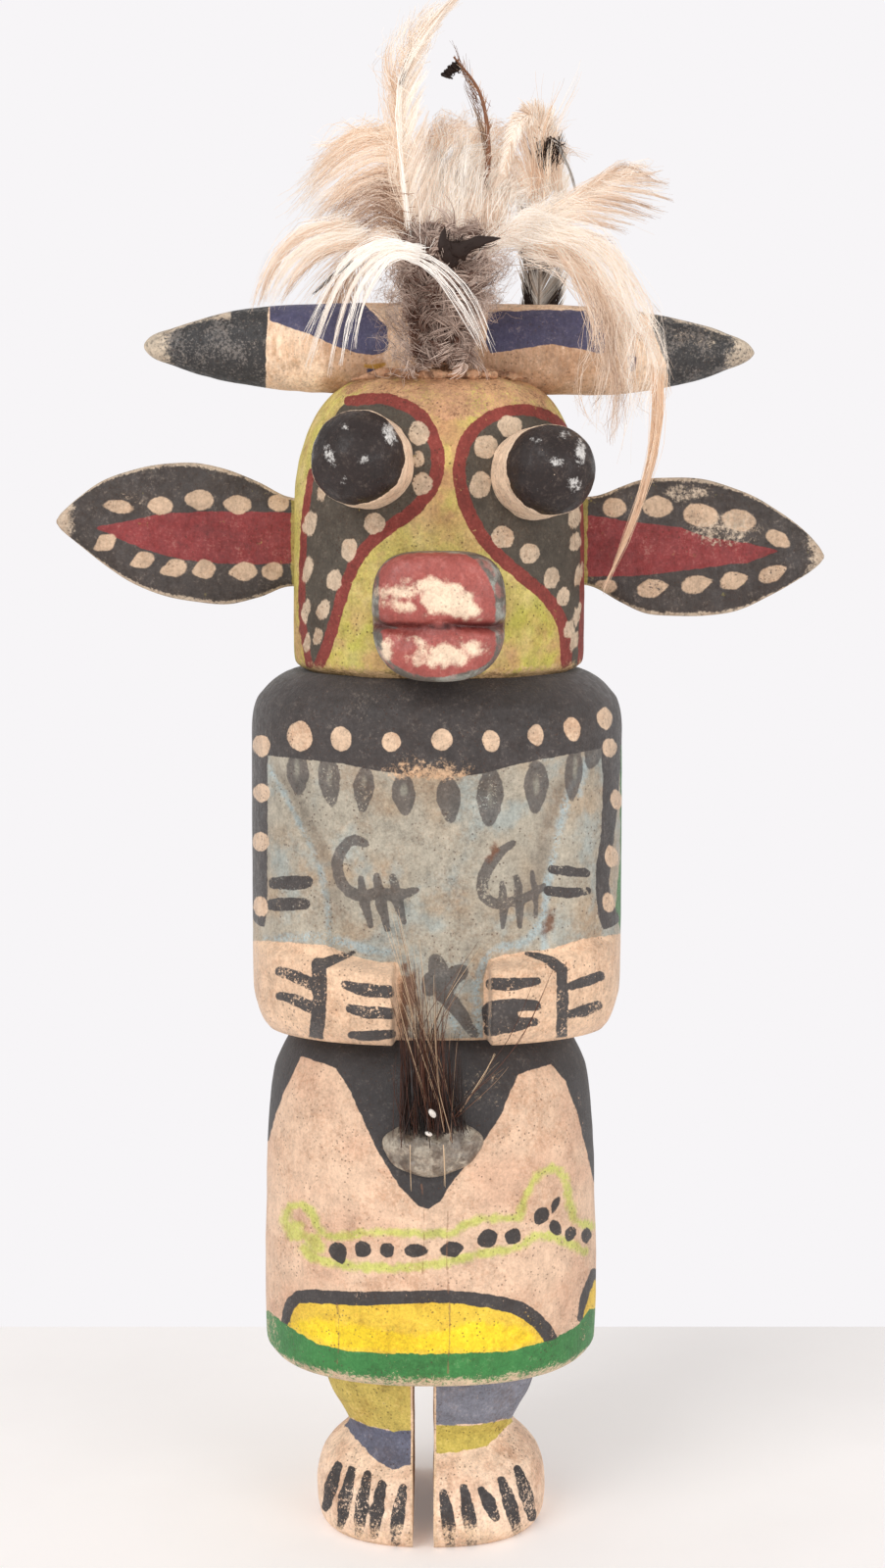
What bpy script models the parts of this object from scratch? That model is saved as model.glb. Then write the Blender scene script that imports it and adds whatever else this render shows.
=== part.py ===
# Carved and painted doll with a horned helmet head, ear plates, feathers and a hair tuft.
# Metres, +Z up, the front faces -Y, the soles stand on z = 0.
import bpy
import bmesh
import math
import numpy as np

for old in list(bpy.data.objects):
    bpy.data.objects.remove(old, do_unlink=True)

# General
GAP = 0.0003
TURNS = 48

# Height of the one carving, from the floor to the crown, and how it is shared out
CARVING_HEIGHT = 0.2800
LEG_HEIGHT = 0.1589 * CARVING_HEIGHT
KILT_HEIGHT = 0.2893 * CARVING_HEIGHT
TORSO_HEIGHT = 0.3000 * CARVING_HEIGHT
HEAD_HEIGHT = CARVING_HEIGHT - LEG_HEIGHT - KILT_HEIGHT - TORSO_HEIGHT

# Widths and depths of the one carving
KILT_WIDTH = 0.0810
KILT_DEPTH = 0.0720
TORSO_WIDTH = 0.0888
TORSO_DEPTH = 0.0720
HEAD_WIDTH = 0.0694
HEAD_DEPTH = 0.0670
LEGS_WIDTH = 0.0544
LEGS_DEPTH = 0.0440
FEET_WIDTH = 0.0560
FEET_DEPTH = 0.0520
FEET_HEIGHT = 0.0220
SLIT_WIDTH = 0.0051
SLIT_X = -0.0032
LOWER_X = -0.0015
HEAD_X = 0.0006

# Arms and hands in relief
CHEST_RECESS = 0.0016
HAND_HEIGHT = 0.0192
HAND_PROUD = 0.0050
HAND_GAP_LEFT = 0.0096
HAND_GAP_RIGHT = 0.0120

# Horn bar
BAR_LENGTH = 0.1445
BAR_HEIGHT = 0.0212
BAR_DEPTH = 0.0190
BAR_X = 0.0030
BAR_SINK = 0.0055
BAR_DROOP = 0.0008

# Ears
EAR_LENGTH = 0.0598
EAR_HEIGHT = 0.0334
EAR_THICK = 0.0064
EAR_ROOT_HEIGHT = 0.0210
EAR_SEAT = 0.0035

# Eyes
EYE_RADIUS = 0.0105
EYE_PROUD = 0.0215
EYE_SEAT = 0.0050

# Snout
SNOUT_WIDTH = 0.0298
SNOUT_HEIGHT = 0.0288
SNOUT_PROUD = 0.0185
SNOUT_SEAT = 0.0045

# Glue dab and hair tuft on the kilt
DAB_WIDTH = 0.0236
DAB_HEIGHT = 0.0136
DAB_THICK = 0.0048
DAB_X = -0.0009
HAIR_LENGTH = 0.0460
HAIR_WIDTH = 0.0130
HAIR_THICK = 0.0042

# Down tuft and feathers
TUFT_WIDTH = 0.0230
TUFT_DEPTH = 0.0128
TUFT_HEIGHT = 0.0270
FEATHER_THICK = 0.0007
FEATHER_RISE = 0.0604

# Levels that follow from the sizes above
KILT_BASE = LEG_HEIGHT
TORSO_BASE = KILT_BASE + KILT_HEIGHT
HEAD_BASE = TORSO_BASE + TORSO_HEIGHT
CROWN = HEAD_BASE + HEAD_HEIGHT
BAR_Z = CROWN - BAR_SINK + BAR_HEIGHT / 2

# Outlines of the blocks: share of the height, share of the half width
KILT_SHAPE = [
    (0.0, 0.857), (0.012, 0.938), (0.037, 0.983), (0.074, 1.0), (0.30, 1.0), (0.45, 0.992),
    (0.59, 0.987), (0.73, 0.970), (0.83, 0.946), (0.873, 0.918), (0.936, 0.852), (0.975, 0.79),
    (1.0, 0.765),
]
TORSO_SHAPE = [
    (0.0, 0.937), (0.02, 0.962), (0.06, 0.987), (0.11, 1.0), (0.18, 1.0), (0.26, 1.0), (0.36, 1.0),
    (0.48, 1.0), (0.60, 1.0), (0.71, 1.0), (0.78, 1.0), (0.855, 0.998), (0.914, 0.975),
    (0.942, 0.938), (0.969, 0.888), (0.988, 0.832), (1.0, 0.777),
]
HEAD_SHAPE = [
    (0.003, 0.90), (0.018, 0.965), (0.045, 0.994), (0.15, 1.0), (0.30, 1.0), (0.45, 0.997),
    (0.604, 0.985), (0.67, 0.966), (0.725, 0.942), (0.817, 0.875), (0.899, 0.775), (0.95, 0.645),
    (0.983, 0.44), (0.997, 0.21),
]


def smooth(value):
    value = np.clip(value, 0.0, 1.0)
    return value * value * (3.0 - 2.0 * value)


def make_object(name, verts, faces):
    mesh = bpy.data.meshes.new(name)
    mesh.from_pydata([tuple(float(c) for c in v) for v in verts], [], faces)
    mesh.validate()
    shape = bmesh.new()
    shape.from_mesh(mesh)
    bmesh.ops.recalc_face_normals(shape, faces=shape.faces)
    shape.to_mesh(mesh)
    shape.free()
    obj = bpy.data.objects.new(name, mesh)
    bpy.context.collection.objects.link(obj)
    return obj


def tube(name, rings):
    # Closed solid through equal rings of points, with flat ends.
    rings = np.asarray(rings, dtype=float)
    count, around = rings.shape[:2]
    verts = rings.reshape(-1, 3)
    faces = [tuple(reversed(range(around)))]
    for i in range(count - 1):
        for j in range(around):
            k = (j + 1) % around
            below, above = i * around, (i + 1) * around
            faces.append((below + j, below + k, above + k, above + j))
    faces.append(tuple((count - 1) * around + j for j in range(around)))
    return make_object(name, verts, faces)


def section(half_x, half_y, power, centre_x=0.0, centre_y=0.0, turns=TURNS):
    # Rounded oblong in the plan view, by angle.
    angle = np.arange(turns) * 2 * math.pi / turns
    c, s = np.cos(angle), np.sin(angle)
    reach = (np.abs(c / half_x) ** power + np.abs(s / half_y) ** power) ** (-1.0 / power)
    return centre_x + reach * c, centre_y + reach * s


def block_rings(shape, base, height, width, depth, power, centre_x):
    rings = []
    for share_z, share_w in shape:
        x, y = section(width / 2 * share_w, depth / 2 * share_w, power, centre_x)
        rings.append(np.stack([x, y, np.full_like(x, base + height * share_z)], axis=1))
    return rings


def material(obj, name, colour, rough):
    mat = bpy.data.materials.new(name)
    mat.use_nodes = True
    shader = mat.node_tree.nodes["Principled BSDF"]
    shader.inputs["Base Color"].default_value = (*colour, 1.0)
    shader.inputs["Roughness"].default_value = rough
    mat.diffuse_color = (*colour, 1.0)
    obj.data.materials.clear()
    obj.data.materials.append(mat)


def boolean(obj, tool, operation):
    tool.hide_render = True
    tool.display_type = "WIRE"
    step = obj.modifiers.new(tool.name, "BOOLEAN")
    step.operation = operation
    step.solver = "EXACT"
    step.object = tool


def box(name, low, high):
    zs, ys, xs = (low[2], high[2]), (low[1], high[1]), (low[0], high[0])
    verts = [(x, y, z) for z in zs for y in ys for x in xs]
    faces = [(0, 2, 3, 1), (4, 5, 7, 6), (0, 1, 5, 4), (2, 6, 7, 3), (0, 4, 6, 2), (1, 3, 7, 5)]
    return make_object(name, verts, faces)


# One carving: kilt, torso and head as a stack of rings
rings = block_rings(KILT_SHAPE, KILT_BASE, KILT_HEIGHT, KILT_WIDTH, KILT_DEPTH, 2.25, LOWER_X)
rings += block_rings(TORSO_SHAPE, TORSO_BASE, TORSO_HEIGHT, TORSO_WIDTH, TORSO_DEPTH, 2.35, 0.0)
rings += block_rings(HEAD_SHAPE, HEAD_BASE, HEAD_HEIGHT, HEAD_WIDTH, HEAD_DEPTH, 2.25, HEAD_X)
points = np.asarray(rings)

# Chest between the arms sinks a little below the sleeves
share = (points[..., 2] - TORSO_BASE) / TORSO_HEIGHT
edge = TORSO_WIDTH * (0.265 + 0.11 * smooth((share - 0.42) / 0.33))
inside = smooth((edge - np.abs(points[..., 0])) / (0.05 * TORSO_WIDTH))
level = smooth((share - 0.16) / 0.08) * smooth((0.78 - share) / 0.06)
front = smooth(-points[..., 1] / (0.25 * TORSO_DEPTH))
points[..., 1] += CHEST_RECESS * inside * level * front
body = tube("carved_body", points)
material(body, "painted root wood", (0.62, 0.48, 0.36), 0.8)

# Hands: two raised blocks at the lower edge of the torso
for side, gap in ((-1, HAND_GAP_LEFT), (1, HAND_GAP_RIGHT)):
    hand = []
    for step in range(9):
        x = gap + (0.455 * TORSO_WIDTH - gap) * step / 8
        curve = (1 - (2 * x / (0.945 * TORSO_WIDTH)) ** 2.2) ** (1 / 2.2)
        face_y = -(TORSO_DEPTH / 2 + HAND_PROUD) * curve
        low = TORSO_BASE - 0.02 * HAND_HEIGHT
        top = TORSO_BASE + HAND_HEIGHT
        back = -0.35 * TORSO_DEPTH * curve
        soft = 0.32 * HAND_PROUD
        ring = [
            (x, back, low), (x, face_y + soft, low), (x, face_y, low + soft),
            (x, face_y, top - 1.6 * soft), (x, face_y + 1.4 * soft, top), (x, back, top + soft),
        ]
        hand.append([(side * p[0], p[1], p[2]) for p in ring])
    name = "hand_left_block" if side < 0 else "hand_right_block"
    boolean(body, tube(name, hand), "UNION")

# Legs in one tapering block up into the kilt
LEG_SHAPE = [(0.30, 0.69, 0.68), (0.45, 0.71, 0.70), (0.53, 0.77, 0.77), (0.66, 0.885, 0.88),
             (0.79, 0.96, 0.95), (1.16, 1.0, 1.0)]
leg_rings = []
for share_z, share_w, share_d in LEG_SHAPE:
    x, y = section(LEGS_WIDTH / 2 * share_w, LEGS_DEPTH / 2 * share_d, 2.4, LOWER_X, 0.0, 40)
    leg_rings.append(np.stack([x, y, np.full_like(x, LEG_HEIGHT * share_z)], axis=1))
legs = tube("legs_block", leg_rings)
boolean(body, legs, "UNION")

# Feet in one low dome with flat soles
FEET_SHAPE = [(0.0, 0.965), (0.12, 0.992), (0.28, 1.0), (0.50, 0.985), (0.70, 0.94), (0.84, 0.86),
              (0.93, 0.76), (0.985, 0.60), (1.0, 0.40)]
feet_rings = []
for share_z, share_w in FEET_SHAPE:
    x, y = section(FEET_WIDTH / 2 * share_w, FEET_DEPTH / 2 * share_w, 2.3, LOWER_X, 0.0, 44)
    feet_rings.append(np.stack([x, y, np.full_like(x, FEET_HEIGHT * share_z)], axis=1))
boolean(body, tube("feet_block", feet_rings), "UNION")

# Saw cut between the legs and feet
slit = box(
    "slit_cutter",
    (SLIT_X - SLIT_WIDTH / 2, -FEET_DEPTH, -0.2 * LEG_HEIGHT),
    (SLIT_X + SLIT_WIDTH / 2, FEET_DEPTH, LEG_HEIGHT - 0.7 * GAP),
)
boolean(body, slit, "DIFFERENCE")


# Horn bar
def bar_rings(grow):
    out = []
    for t in (-1.0, -0.97, -0.9, -0.8, -0.68, -0.5, -0.25, 0.0, 0.25, 0.5, 0.68, 0.8, 0.9, 0.97, 1.0):
        share_r = max((1 - abs(t) ** 4) ** 0.8, 0.14)
        angle = np.arange(24) * 2 * math.pi / 24
        x = np.full(24, BAR_X + t * (BAR_LENGTH / 2 + grow))
        y = (BAR_DEPTH / 2 * share_r + grow) * np.cos(angle)
        z = BAR_Z - BAR_DROOP * t + (BAR_HEIGHT / 2 * share_r + grow) * np.sin(angle)
        out.append(np.stack([x, y, z], axis=1))
    return out


bar = tube("horn_bar", bar_rings(0.0))
material(bar, "painted horn bar", (0.55, 0.38, 0.26), 0.75)
boolean(body, tube("bar_cutter", bar_rings(GAP)), "DIFFERENCE")


# Ears: leaf plates with a straight root let into a slot
def ear(side, name, level, rise, length):
    root_x = HEAD_WIDTH / 2 - EAR_SEAT
    tip_x = HEAD_WIDTH / 2 + length - EAR_SEAT
    centre_z = HEAD_BASE + level * HEAD_HEIGHT
    rings = []
    for s, up, low, thick in EAR_SHAPE:
        x = side * (root_x + (tip_x - root_x) * s) + HEAD_X
        top = centre_z + EAR_HEIGHT * up + rise * s
        bottom = centre_z - EAR_HEIGHT * low + rise * s
        half = EAR_THICK / 2 * thick
        soft = min(0.28 * (top - bottom), 0.55 * EAR_THICK)
        rings.append([
            (x, -0.35 * half, top), (x, half * 0.35, top), (x, half, top - soft), (x, half, bottom + soft),
            (x, 0.35 * half, bottom), (x, -0.35 * half, bottom), (x, -half, bottom + soft),
            (x, -half, top - soft),
        ])
    return tube(name, rings)


ROOT_SHARE = EAR_ROOT_HEIGHT / EAR_HEIGHT
EAR_SHAPE = [
    (0.0, 0.50 * ROOT_SHARE, 0.50 * ROOT_SHARE, 1.0), (0.09, 0.51 * ROOT_SHARE, 0.51 * ROOT_SHARE, 1.0),
    (0.20, 0.41, 0.42, 1.0), (0.32, 0.475, 0.495, 1.0), (0.45, 0.50, 0.495, 1.0), (0.58, 0.475, 0.46, 0.97),
    (0.70, 0.415, 0.385, 0.92), (0.82, 0.305, 0.27, 0.85), (0.92, 0.175, 0.14, 0.75),
    (0.98, 0.075, 0.06, 0.6),
    (1.0, 0.04, 0.03, 0.5),
]
EARS = [
    ("left", -1, 0.4255, 0.0052, EAR_LENGTH),
    ("right", 1, 0.4370, -0.0040, EAR_LENGTH * 1.012),
]
for word, side, level, rise, length in EARS:
    obj = ear(side, "ear_" + word, level, rise, length)
    material(obj, "ear_%s painted wood" % word, (0.16, 0.12, 0.11), 0.75)
    centre_z = HEAD_BASE + level * HEAD_HEIGHT
    inner = HEAD_WIDTH / 2 - EAR_SEAT - GAP
    outer = HEAD_WIDTH / 2 + 3 * EAR_SEAT
    reach_z = 0.52 * EAR_ROOT_HEIGHT + abs(rise) * 0.12 + GAP
    half = EAR_THICK / 2 + GAP
    xs = sorted((side * inner + HEAD_X, side * outer + HEAD_X))
    low = (xs[0], -half, centre_z - reach_z)
    high = (xs[1], half, centre_z + reach_z)
    cutter = box("ear_cutter_" + word, low, high)
    boolean(body, cutter, "DIFFERENCE")


# Eyes: splayed dowels with a domed cap, let into round holes
def eye(name, side, x, z, splay, lift, grow):
    direction = np.array([side * math.tan(math.radians(splay)), -1.0, math.tan(math.radians(lift))])
    direction /= np.linalg.norm(direction)
    across = np.cross(direction, [0.0, 0.0, 1.0])
    across /= np.linalg.norm(across)
    upward = np.cross(across, direction)
    face = np.array([x, -HEAD_DEPTH / 2, z])
    radius = EYE_RADIUS
    stub = EYE_PROUD - 0.78 * radius
    profile = [(-EYE_SEAT - grow, radius + grow), (stub * 0.96, radius + grow)]
    if grow == 0.0:
        profile += [(stub, 0.95 * radius)]
        for k in range(1, 6):
            turn = math.radians(15 + 13.5 * k)
            profile.append((stub + 0.78 * radius * math.sin(turn), 0.95 * radius * math.cos(turn)))
    rings = []
    angle = np.arange(28) * 2 * math.pi / 28
    for along, r in profile:
        centre = face + direction * along
        ring = centre + r * (np.cos(angle)[:, None] * across + np.sin(angle)[:, None] * upward)
        rings.append(ring)
    return tube(name, rings)


EYES = [
    ("left", -1, -0.2233 * HEAD_WIDTH, HEAD_BASE + 0.680 * HEAD_HEIGHT, 7.5, 7.5),
    ("right", 1, 0.3184 * HEAD_WIDTH, HEAD_BASE + 0.658 * HEAD_HEIGHT, 13.0, 4.5),
]
for word, side, x, z, splay, lift in EYES:
    obj = eye("eye_" + word, side, x, z, splay, lift, 0.0)
    material(obj, "eye_%s painted dowel" % word, (0.12, 0.11, 0.11), 0.55)
    boolean(body, eye("eye_cutter_" + word, side, x, z, splay, lift, GAP), "DIFFERENCE")


# Snout: rounded block with a mouth groove
def snout(name, grow):
    centre_z = HEAD_BASE + 0.010 * HEAD_HEIGHT + SNOUT_HEIGHT / 2 - 0.007 * SNOUT_HEIGHT
    back = -HEAD_DEPTH / 2 + SNOUT_SEAT + grow
    front = -HEAD_DEPTH / 2 - SNOUT_PROUD
    out = []
    shape = [(0.0, 1.0), (0.5, 1.0), (0.78, 0.985), (0.90, 0.93), (0.97, 0.82), (1.0, 0.68)]
    if grow:
        shape = shape[:2]
    for s, share_w in shape:
        angle = (np.arange(32) + 0.5) * 2 * math.pi / 32
        c, q = np.cos(angle), np.sin(angle)
        half_x = SNOUT_WIDTH / 2 * share_w + grow
        half_z = SNOUT_HEIGHT / 2 * share_w + grow
        reach = (np.abs(c / half_x) ** 3.6 + np.abs(q / half_z) ** 3.6) ** (-1 / 3.6)
        y = np.full(32, back + (front - back) * s)
        out.append(np.stack([HEAD_X + reach * c, y, centre_z + reach * q], axis=1))
    return tube(name, out), centre_z, front


nose, nose_z, nose_front = snout("snout", 0.0)
material(nose, "painted snout block", (0.36, 0.11, 0.09), 0.6)
MOUTH_Z = nose_z - 0.055 * SNOUT_HEIGHT
mouth = make_object(
    "mouth_cutter",
    [(x, y, MOUTH_Z + dz) for x in (-SNOUT_WIDTH, SNOUT_WIDTH)
     for y, dz in (
         (nose_front - 0.2 * SNOUT_PROUD, -0.1 * SNOUT_HEIGHT),
         (nose_front - 0.2 * SNOUT_PROUD, 0.1 * SNOUT_HEIGHT),
         (nose_front + 0.17 * SNOUT_PROUD, 0.0))],
    [(0, 1, 2), (3, 5, 4), (0, 3, 4, 1), (1, 4, 5, 2), (2, 5, 3, 0)],
)
boolean(nose, mouth, "DIFFERENCE")
boolean(body, snout("snout_cutter", GAP)[0], "DIFFERENCE")


# Glue dab: a low dome on the front of the kilt
def kilt_front(x, z):
    shares = np.array(KILT_SHAPE)
    share_w = np.interp((z - KILT_BASE) / KILT_HEIGHT, shares[:, 0], shares[:, 1])
    half_x = KILT_WIDTH / 2 * share_w
    half_y = KILT_DEPTH / 2 * share_w
    return -half_y * (1 - np.abs((x - LOWER_X) / half_x) ** 2.25) ** (1 / 2.25)


DAB_Z = KILT_BASE + 0.694 * KILT_HEIGHT
inner_rings = []
outer_rings = []
turn = np.arange(24) * 2 * math.pi / 24
for rho in (1.0, 0.86, 0.66, 0.40, 0.15):
    x = DAB_X + DAB_WIDTH / 2 * rho * np.cos(turn)
    z = DAB_Z + DAB_HEIGHT / 2 * rho * np.sin(turn)
    seat = kilt_front(x, z) - 1.3 * GAP
    rise = DAB_THICK * (0.08 + 0.92 * math.sqrt(1 - rho ** 2))
    inner_rings.append(np.stack([x, seat, z], axis=1))
    outer_rings.append(np.stack([x, seat - rise, z], axis=1))
dab = tube("glue_dab", inner_rings[::-1] + outer_rings)
material(dab, "dried glue", (0.30, 0.25, 0.22), 0.3)

# Hair tuft: a flat bundle that starts just above the glue
hair_rings = []
turn = np.arange(10) * 2 * math.pi / 10
HAIR_SHAPE = [(0.0, 0.72, 0.62, 0.0), (0.12, 0.78, 0.85, 0.10), (0.3, 0.86, 1.0, 0.42),
              (0.5, 0.95, 1.0, 0.80),
              (0.7, 0.90, 0.85, 1.0), (0.88, 0.55, 0.55, 1.02), (1.0, 0.22, 0.25, 1.0)]
for s, share_w, share_t, out in HAIR_SHAPE:
    x = DAB_X + HAIR_WIDTH / 2 * share_w * np.cos(turn) - 0.04 * HAIR_LENGTH * s
    base_y = -KILT_DEPTH / 2 - 0.74 * HAIR_THICK - 1.44 * HAND_PROUD * out
    y = base_y + HAIR_THICK / 2 * share_t * np.sin(turn)
    z = np.full(10, DAB_Z + DAB_HEIGHT / 2 + 2 * GAP + HAIR_LENGTH * s)
    hair_rings.append(np.stack([x, y, z], axis=1))
hair = tube("hair_tuft", hair_rings)
material(hair, "horse hair", (0.06, 0.035, 0.025), 0.6)

# Down tuft in front of the horn bar
TUFT_Y = -BAR_DEPTH / 2 - 3 * GAP - TUFT_DEPTH / 2
TUFT_Z = CROWN + 0.433 * TUFT_HEIGHT
TUFT_SHAPE = [
    (-1.0, 0.34), (-0.92, 0.55), (-0.7, 0.80), (-0.35, 0.92), (0.0, 0.96), (0.4, 1.0), (0.72, 0.84),
    (0.92, 0.5), (1.0, 0.22),
]


def tuft_solid(name, shape, grow):
    rings = []
    turn = np.arange(20) * 2 * math.pi / 20
    for k, (s, share_w) in enumerate(shape):
        lump = 1 + 0.04 * np.sin(3 * turn + 1.7 * k)
        x = HEAD_X + (TUFT_WIDTH / 2 * share_w * lump + grow) * np.cos(turn)
        y = TUFT_Y + (TUFT_DEPTH / 2 * share_w + grow) * np.sin(turn)
        z = np.full(20, TUFT_Z + TUFT_HEIGHT / 2 * s - (grow if k == 0 else 0))
        rings.append(np.stack([x, y, z], axis=1))
    return tube(name, rings)


tuft = tuft_solid("down_tuft", TUFT_SHAPE, 0.0)
boolean(body, tuft_solid("tuft_cutter", TUFT_SHAPE[:5], GAP), "DIFFERENCE")
material(tuft, "grey down", (0.36, 0.28, 0.23), 0.95)


# Feathers: thin curved blades that start just off the down
def along(points, count):
    # Even steps on a smooth curve through the given points.
    knots = np.asarray(points, dtype=float)
    padded = np.vstack([2 * knots[0] - knots[1], knots, 2 * knots[-1] - knots[-2]])
    dense = []
    for i in range(len(knots) - 1):
        p0, p1, p2, p3 = padded[i:i + 4]
        t = np.linspace(0, 1, 24, endpoint=False)[:, None]
        dense.append(0.5 * (2 * p1 + (p2 - p0) * t + (2 * p0 - 5 * p1 + 4 * p2 - p3) * t ** 2
                            + (3 * p1 - p0 - 3 * p2 + p3) * t ** 3))
    dense.append(knots[-1][None, :])
    dense = np.vstack(dense)
    run = np.concatenate([[0], np.cumsum(np.linalg.norm(np.diff(dense, axis=0), axis=1))])
    steps = np.linspace(0, run[-1], count)
    return np.stack([np.interp(steps, run, dense[:, k]) for k in range(3)], axis=1)


FEATHER_ORIGIN = np.array([0.0, TUFT_Y, TUFT_Z + TUFT_HEIGHT / 2])
FEATHER_UNIT = FEATHER_RISE / 60.4


def feather(name, knots, width, facing, widest, colour):
    spine = FEATHER_ORIGIN + along(np.asarray(knots) * FEATHER_UNIT, 13)
    tangent = np.gradient(spine, axis=0)
    tangent /= np.linalg.norm(tangent, axis=1)[:, None]
    facing = np.asarray(facing, dtype=float)
    across = np.cross(tangent, facing)
    across /= np.linalg.norm(across, axis=1)[:, None]
    normal = np.cross(across, tangent)
    share = np.linspace(0, 1, 13)
    rise = smooth(share / widest)
    fall = 1 - smooth((share - widest) / (1 - widest)) * 0.88
    half_w = width * FEATHER_UNIT / 2 * (0.16 + 0.84 * rise) * fall
    half_t = FEATHER_THICK / 2 * (1 - 0.35 * share)
    rings = []
    for p, a, n, w, t in zip(spine, across, normal, half_w, half_t):
        rings.append([p - a * w - n * t * 0.4, p - n * t, p + a * w - n * t * 0.4,
                      p + a * w + n * t * 0.4, p + n * t, p - a * w + n * t * 0.4])
    obj = tube(name, rings)
    material(obj, name + " vane", colour, 0.8)
    return obj


# Spine points from the top of the down tuft (right, back, up) and vane width, in sixtieths of the
# tallest feather's rise, which are about millimetres
FRONT = (0.0, -1.0, 0.0)
CREAM = (0.80, 0.72, 0.58)
BEIGE = (0.66, 0.50, 0.38)
FEATHERS = [
    (
        "tall_white",
        [(-1, 1.2, 0.6), (-4.3, 1.6, 9), (-7.4, 2.4, 24), (-7.4, 4, 40), (-2.2, 5, 51),
         (7, 6, 60.4)],
        9, FRONT, 0.45, CREAM,
    ),
    (
        "left_upper",
        [(-3.6, 3.4, -0.6), (-8, 6.5, 14), (-12, 8, 23), (-19.4, 10, 27), (-27.5, 12, 21.5),
         (-33.5, 15, 11)],
        7.5, FRONT, 0.5, BEIGE,
    ),
    (
        "left_mid",
        [(-7.2, 2.6, -3.4), (-13.6, 4, 9), (-23, 5, 14.2), (-31.7, 5, 7.4), (-36.5, 5, -1)],
        7, FRONT, 0.5, BEIGE,
    ),
    (
        "left_low",
        [(-9.8, -3.2, -5.6), (-15.5, -5.6, 4), (-26.7, -6.5, 6.2), (-35.5, -8, -0.2),
         (-40.5, -9.5, -9.3)],
        6, FRONT, 0.5, CREAM,
    ),
    (
        "arch_white",
        [(6.2, -8.2, -9), (5.2, -12.5, -4.5), (-2, -16.5, 1.6), (-12, -18.5, 1),
         (-20.6, -20.5, -6.2), (-25, -22.5, -17), (-27.3, -24.5, -29)],
        8, FRONT, 0.4, CREAM,
    ),
    (
        "right_spray",
        [(7.6, 3.4, -3.2), (17.6, 3.4, 5.4), (29.5, 3.6, 13), (41, 5, 17.5), (53.4, 7, 11)],
        10, FRONT, 0.7, BEIGE,
    ),
    (
        "long_droop",
        [(12.2, -1, -6), (21.1, -5, 0.5), (34.2, -11, -7.6), (43.8, -17, -21), (48.6, -21, -38.5),
         (45.8, -23, -58), (40, -25, -72)],
        6.5, FRONT, 0.3, CREAM,
    ),
    (
        "short_droop",
        [(11, -5.4, -9.2), (20.2, -11, -4.2), (31.5, -16, -12.2), (39, -21, -23.2),
         (36.5, -24, -32.4)],
        6.5, FRONT, 0.4, BEIGE,
    ),
    (
        "brown_quill",
        [(5.2, 4.6, -1.2), (11.2, 6.5, 17), (11.8, 7.8, 29), (9.6, 9, 38.5), (4, 10.4, 46)],
        1.8, FRONT, 0.6, (0.2, 0.1, 0.06),
    ),
    (
        "top_cream",
        [(1.6, 4.8, -0.2), (4.2, 9, 9), (1.8, 11.5, 20), (5.2, 14, 29), (12.8, 18, 30.6),
         (16, 20.5, 26)],
        10.5, FRONT, 0.5, CREAM,
    ),
    (
        "barred_strip",
        [(21.8, 31.5, -30), (26.2, 33.5, -12), (27.2, 34.5, 7.6), (29.9, 33, 19), (29.1, 27, 30),
         (24.6, 18.5, 34), (19, 11.5, 29), (15, 9.4, 18)],
        6.8, (0.12, -1.0, 0.1), 0.4, (0.13, 0.12, 0.11),
    ),
    (
        "black_small",
        [(5.2, -6.8, -2.2), (8, -9.6, 2.4), (12, -11, 5.6), (17, -12, 8)],
        4.5, FRONT, 0.5, (0.05, 0.05, 0.05),
    ),
    (
        "back_droop",
        [(1.2, 6.4, -2.6), (0.4, 15, 5.5), (-2, 32, 10.5), (-4, 49, 4), (-5, 62, -10),
         (-5, 71.6, -27)],
        9, (0.0, 0.35, 1.0), 0.5, CREAM,
    ),
    (
        "back_left",
        [(-4.8, 6, -3.2), (-10, 17.5, 4), (-18, 30, 5), (-25, 42, -6), (-28, 51, -19)],
        8, (-0.2, 0.35, 1.0), 0.5, BEIGE,
    ),
]
for name, knots, width, facing, widest, colour in FEATHERS:
    feather(name, knots, width, facing, widest, colour)
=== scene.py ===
import math

import bpy
import numpy as np
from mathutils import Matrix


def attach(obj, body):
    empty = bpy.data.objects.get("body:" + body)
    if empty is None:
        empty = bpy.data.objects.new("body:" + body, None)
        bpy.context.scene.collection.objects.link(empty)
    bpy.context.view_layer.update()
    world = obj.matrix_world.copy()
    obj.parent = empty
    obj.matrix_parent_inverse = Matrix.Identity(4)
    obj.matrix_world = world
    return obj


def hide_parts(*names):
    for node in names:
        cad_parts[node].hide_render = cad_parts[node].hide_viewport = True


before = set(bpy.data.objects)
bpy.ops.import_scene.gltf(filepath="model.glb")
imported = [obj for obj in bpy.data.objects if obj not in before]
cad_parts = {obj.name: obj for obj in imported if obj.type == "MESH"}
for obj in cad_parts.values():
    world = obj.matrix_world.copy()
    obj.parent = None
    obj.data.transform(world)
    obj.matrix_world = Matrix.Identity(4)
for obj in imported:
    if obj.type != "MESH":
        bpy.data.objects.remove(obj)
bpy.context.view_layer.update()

# Viewpoint: eye level with the top of the head, six and a half degrees down
EYE_POINT = np.array([0.0014, -0.600, 0.250])
EYE_PITCH = math.radians(6.5)
FRAME_LONG = 1600
FRAME_SHORT = 903
FOCAL = 2553.0

camera = bpy.data.objects.new("viewpoint", bpy.data.cameras.new("viewpoint"))
bpy.context.collection.objects.link(camera)
camera.location = EYE_POINT
camera.rotation_euler = (math.pi / 2 - EYE_PITCH, 0.0, 0.0)
camera.data.sensor_width = 36.0
camera.data.lens = FOCAL / FRAME_LONG * 36.0
camera.data.clip_start = 0.01
bpy.context.scene.camera = camera
bpy.context.scene.view_settings.view_transform = "Standard"

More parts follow.
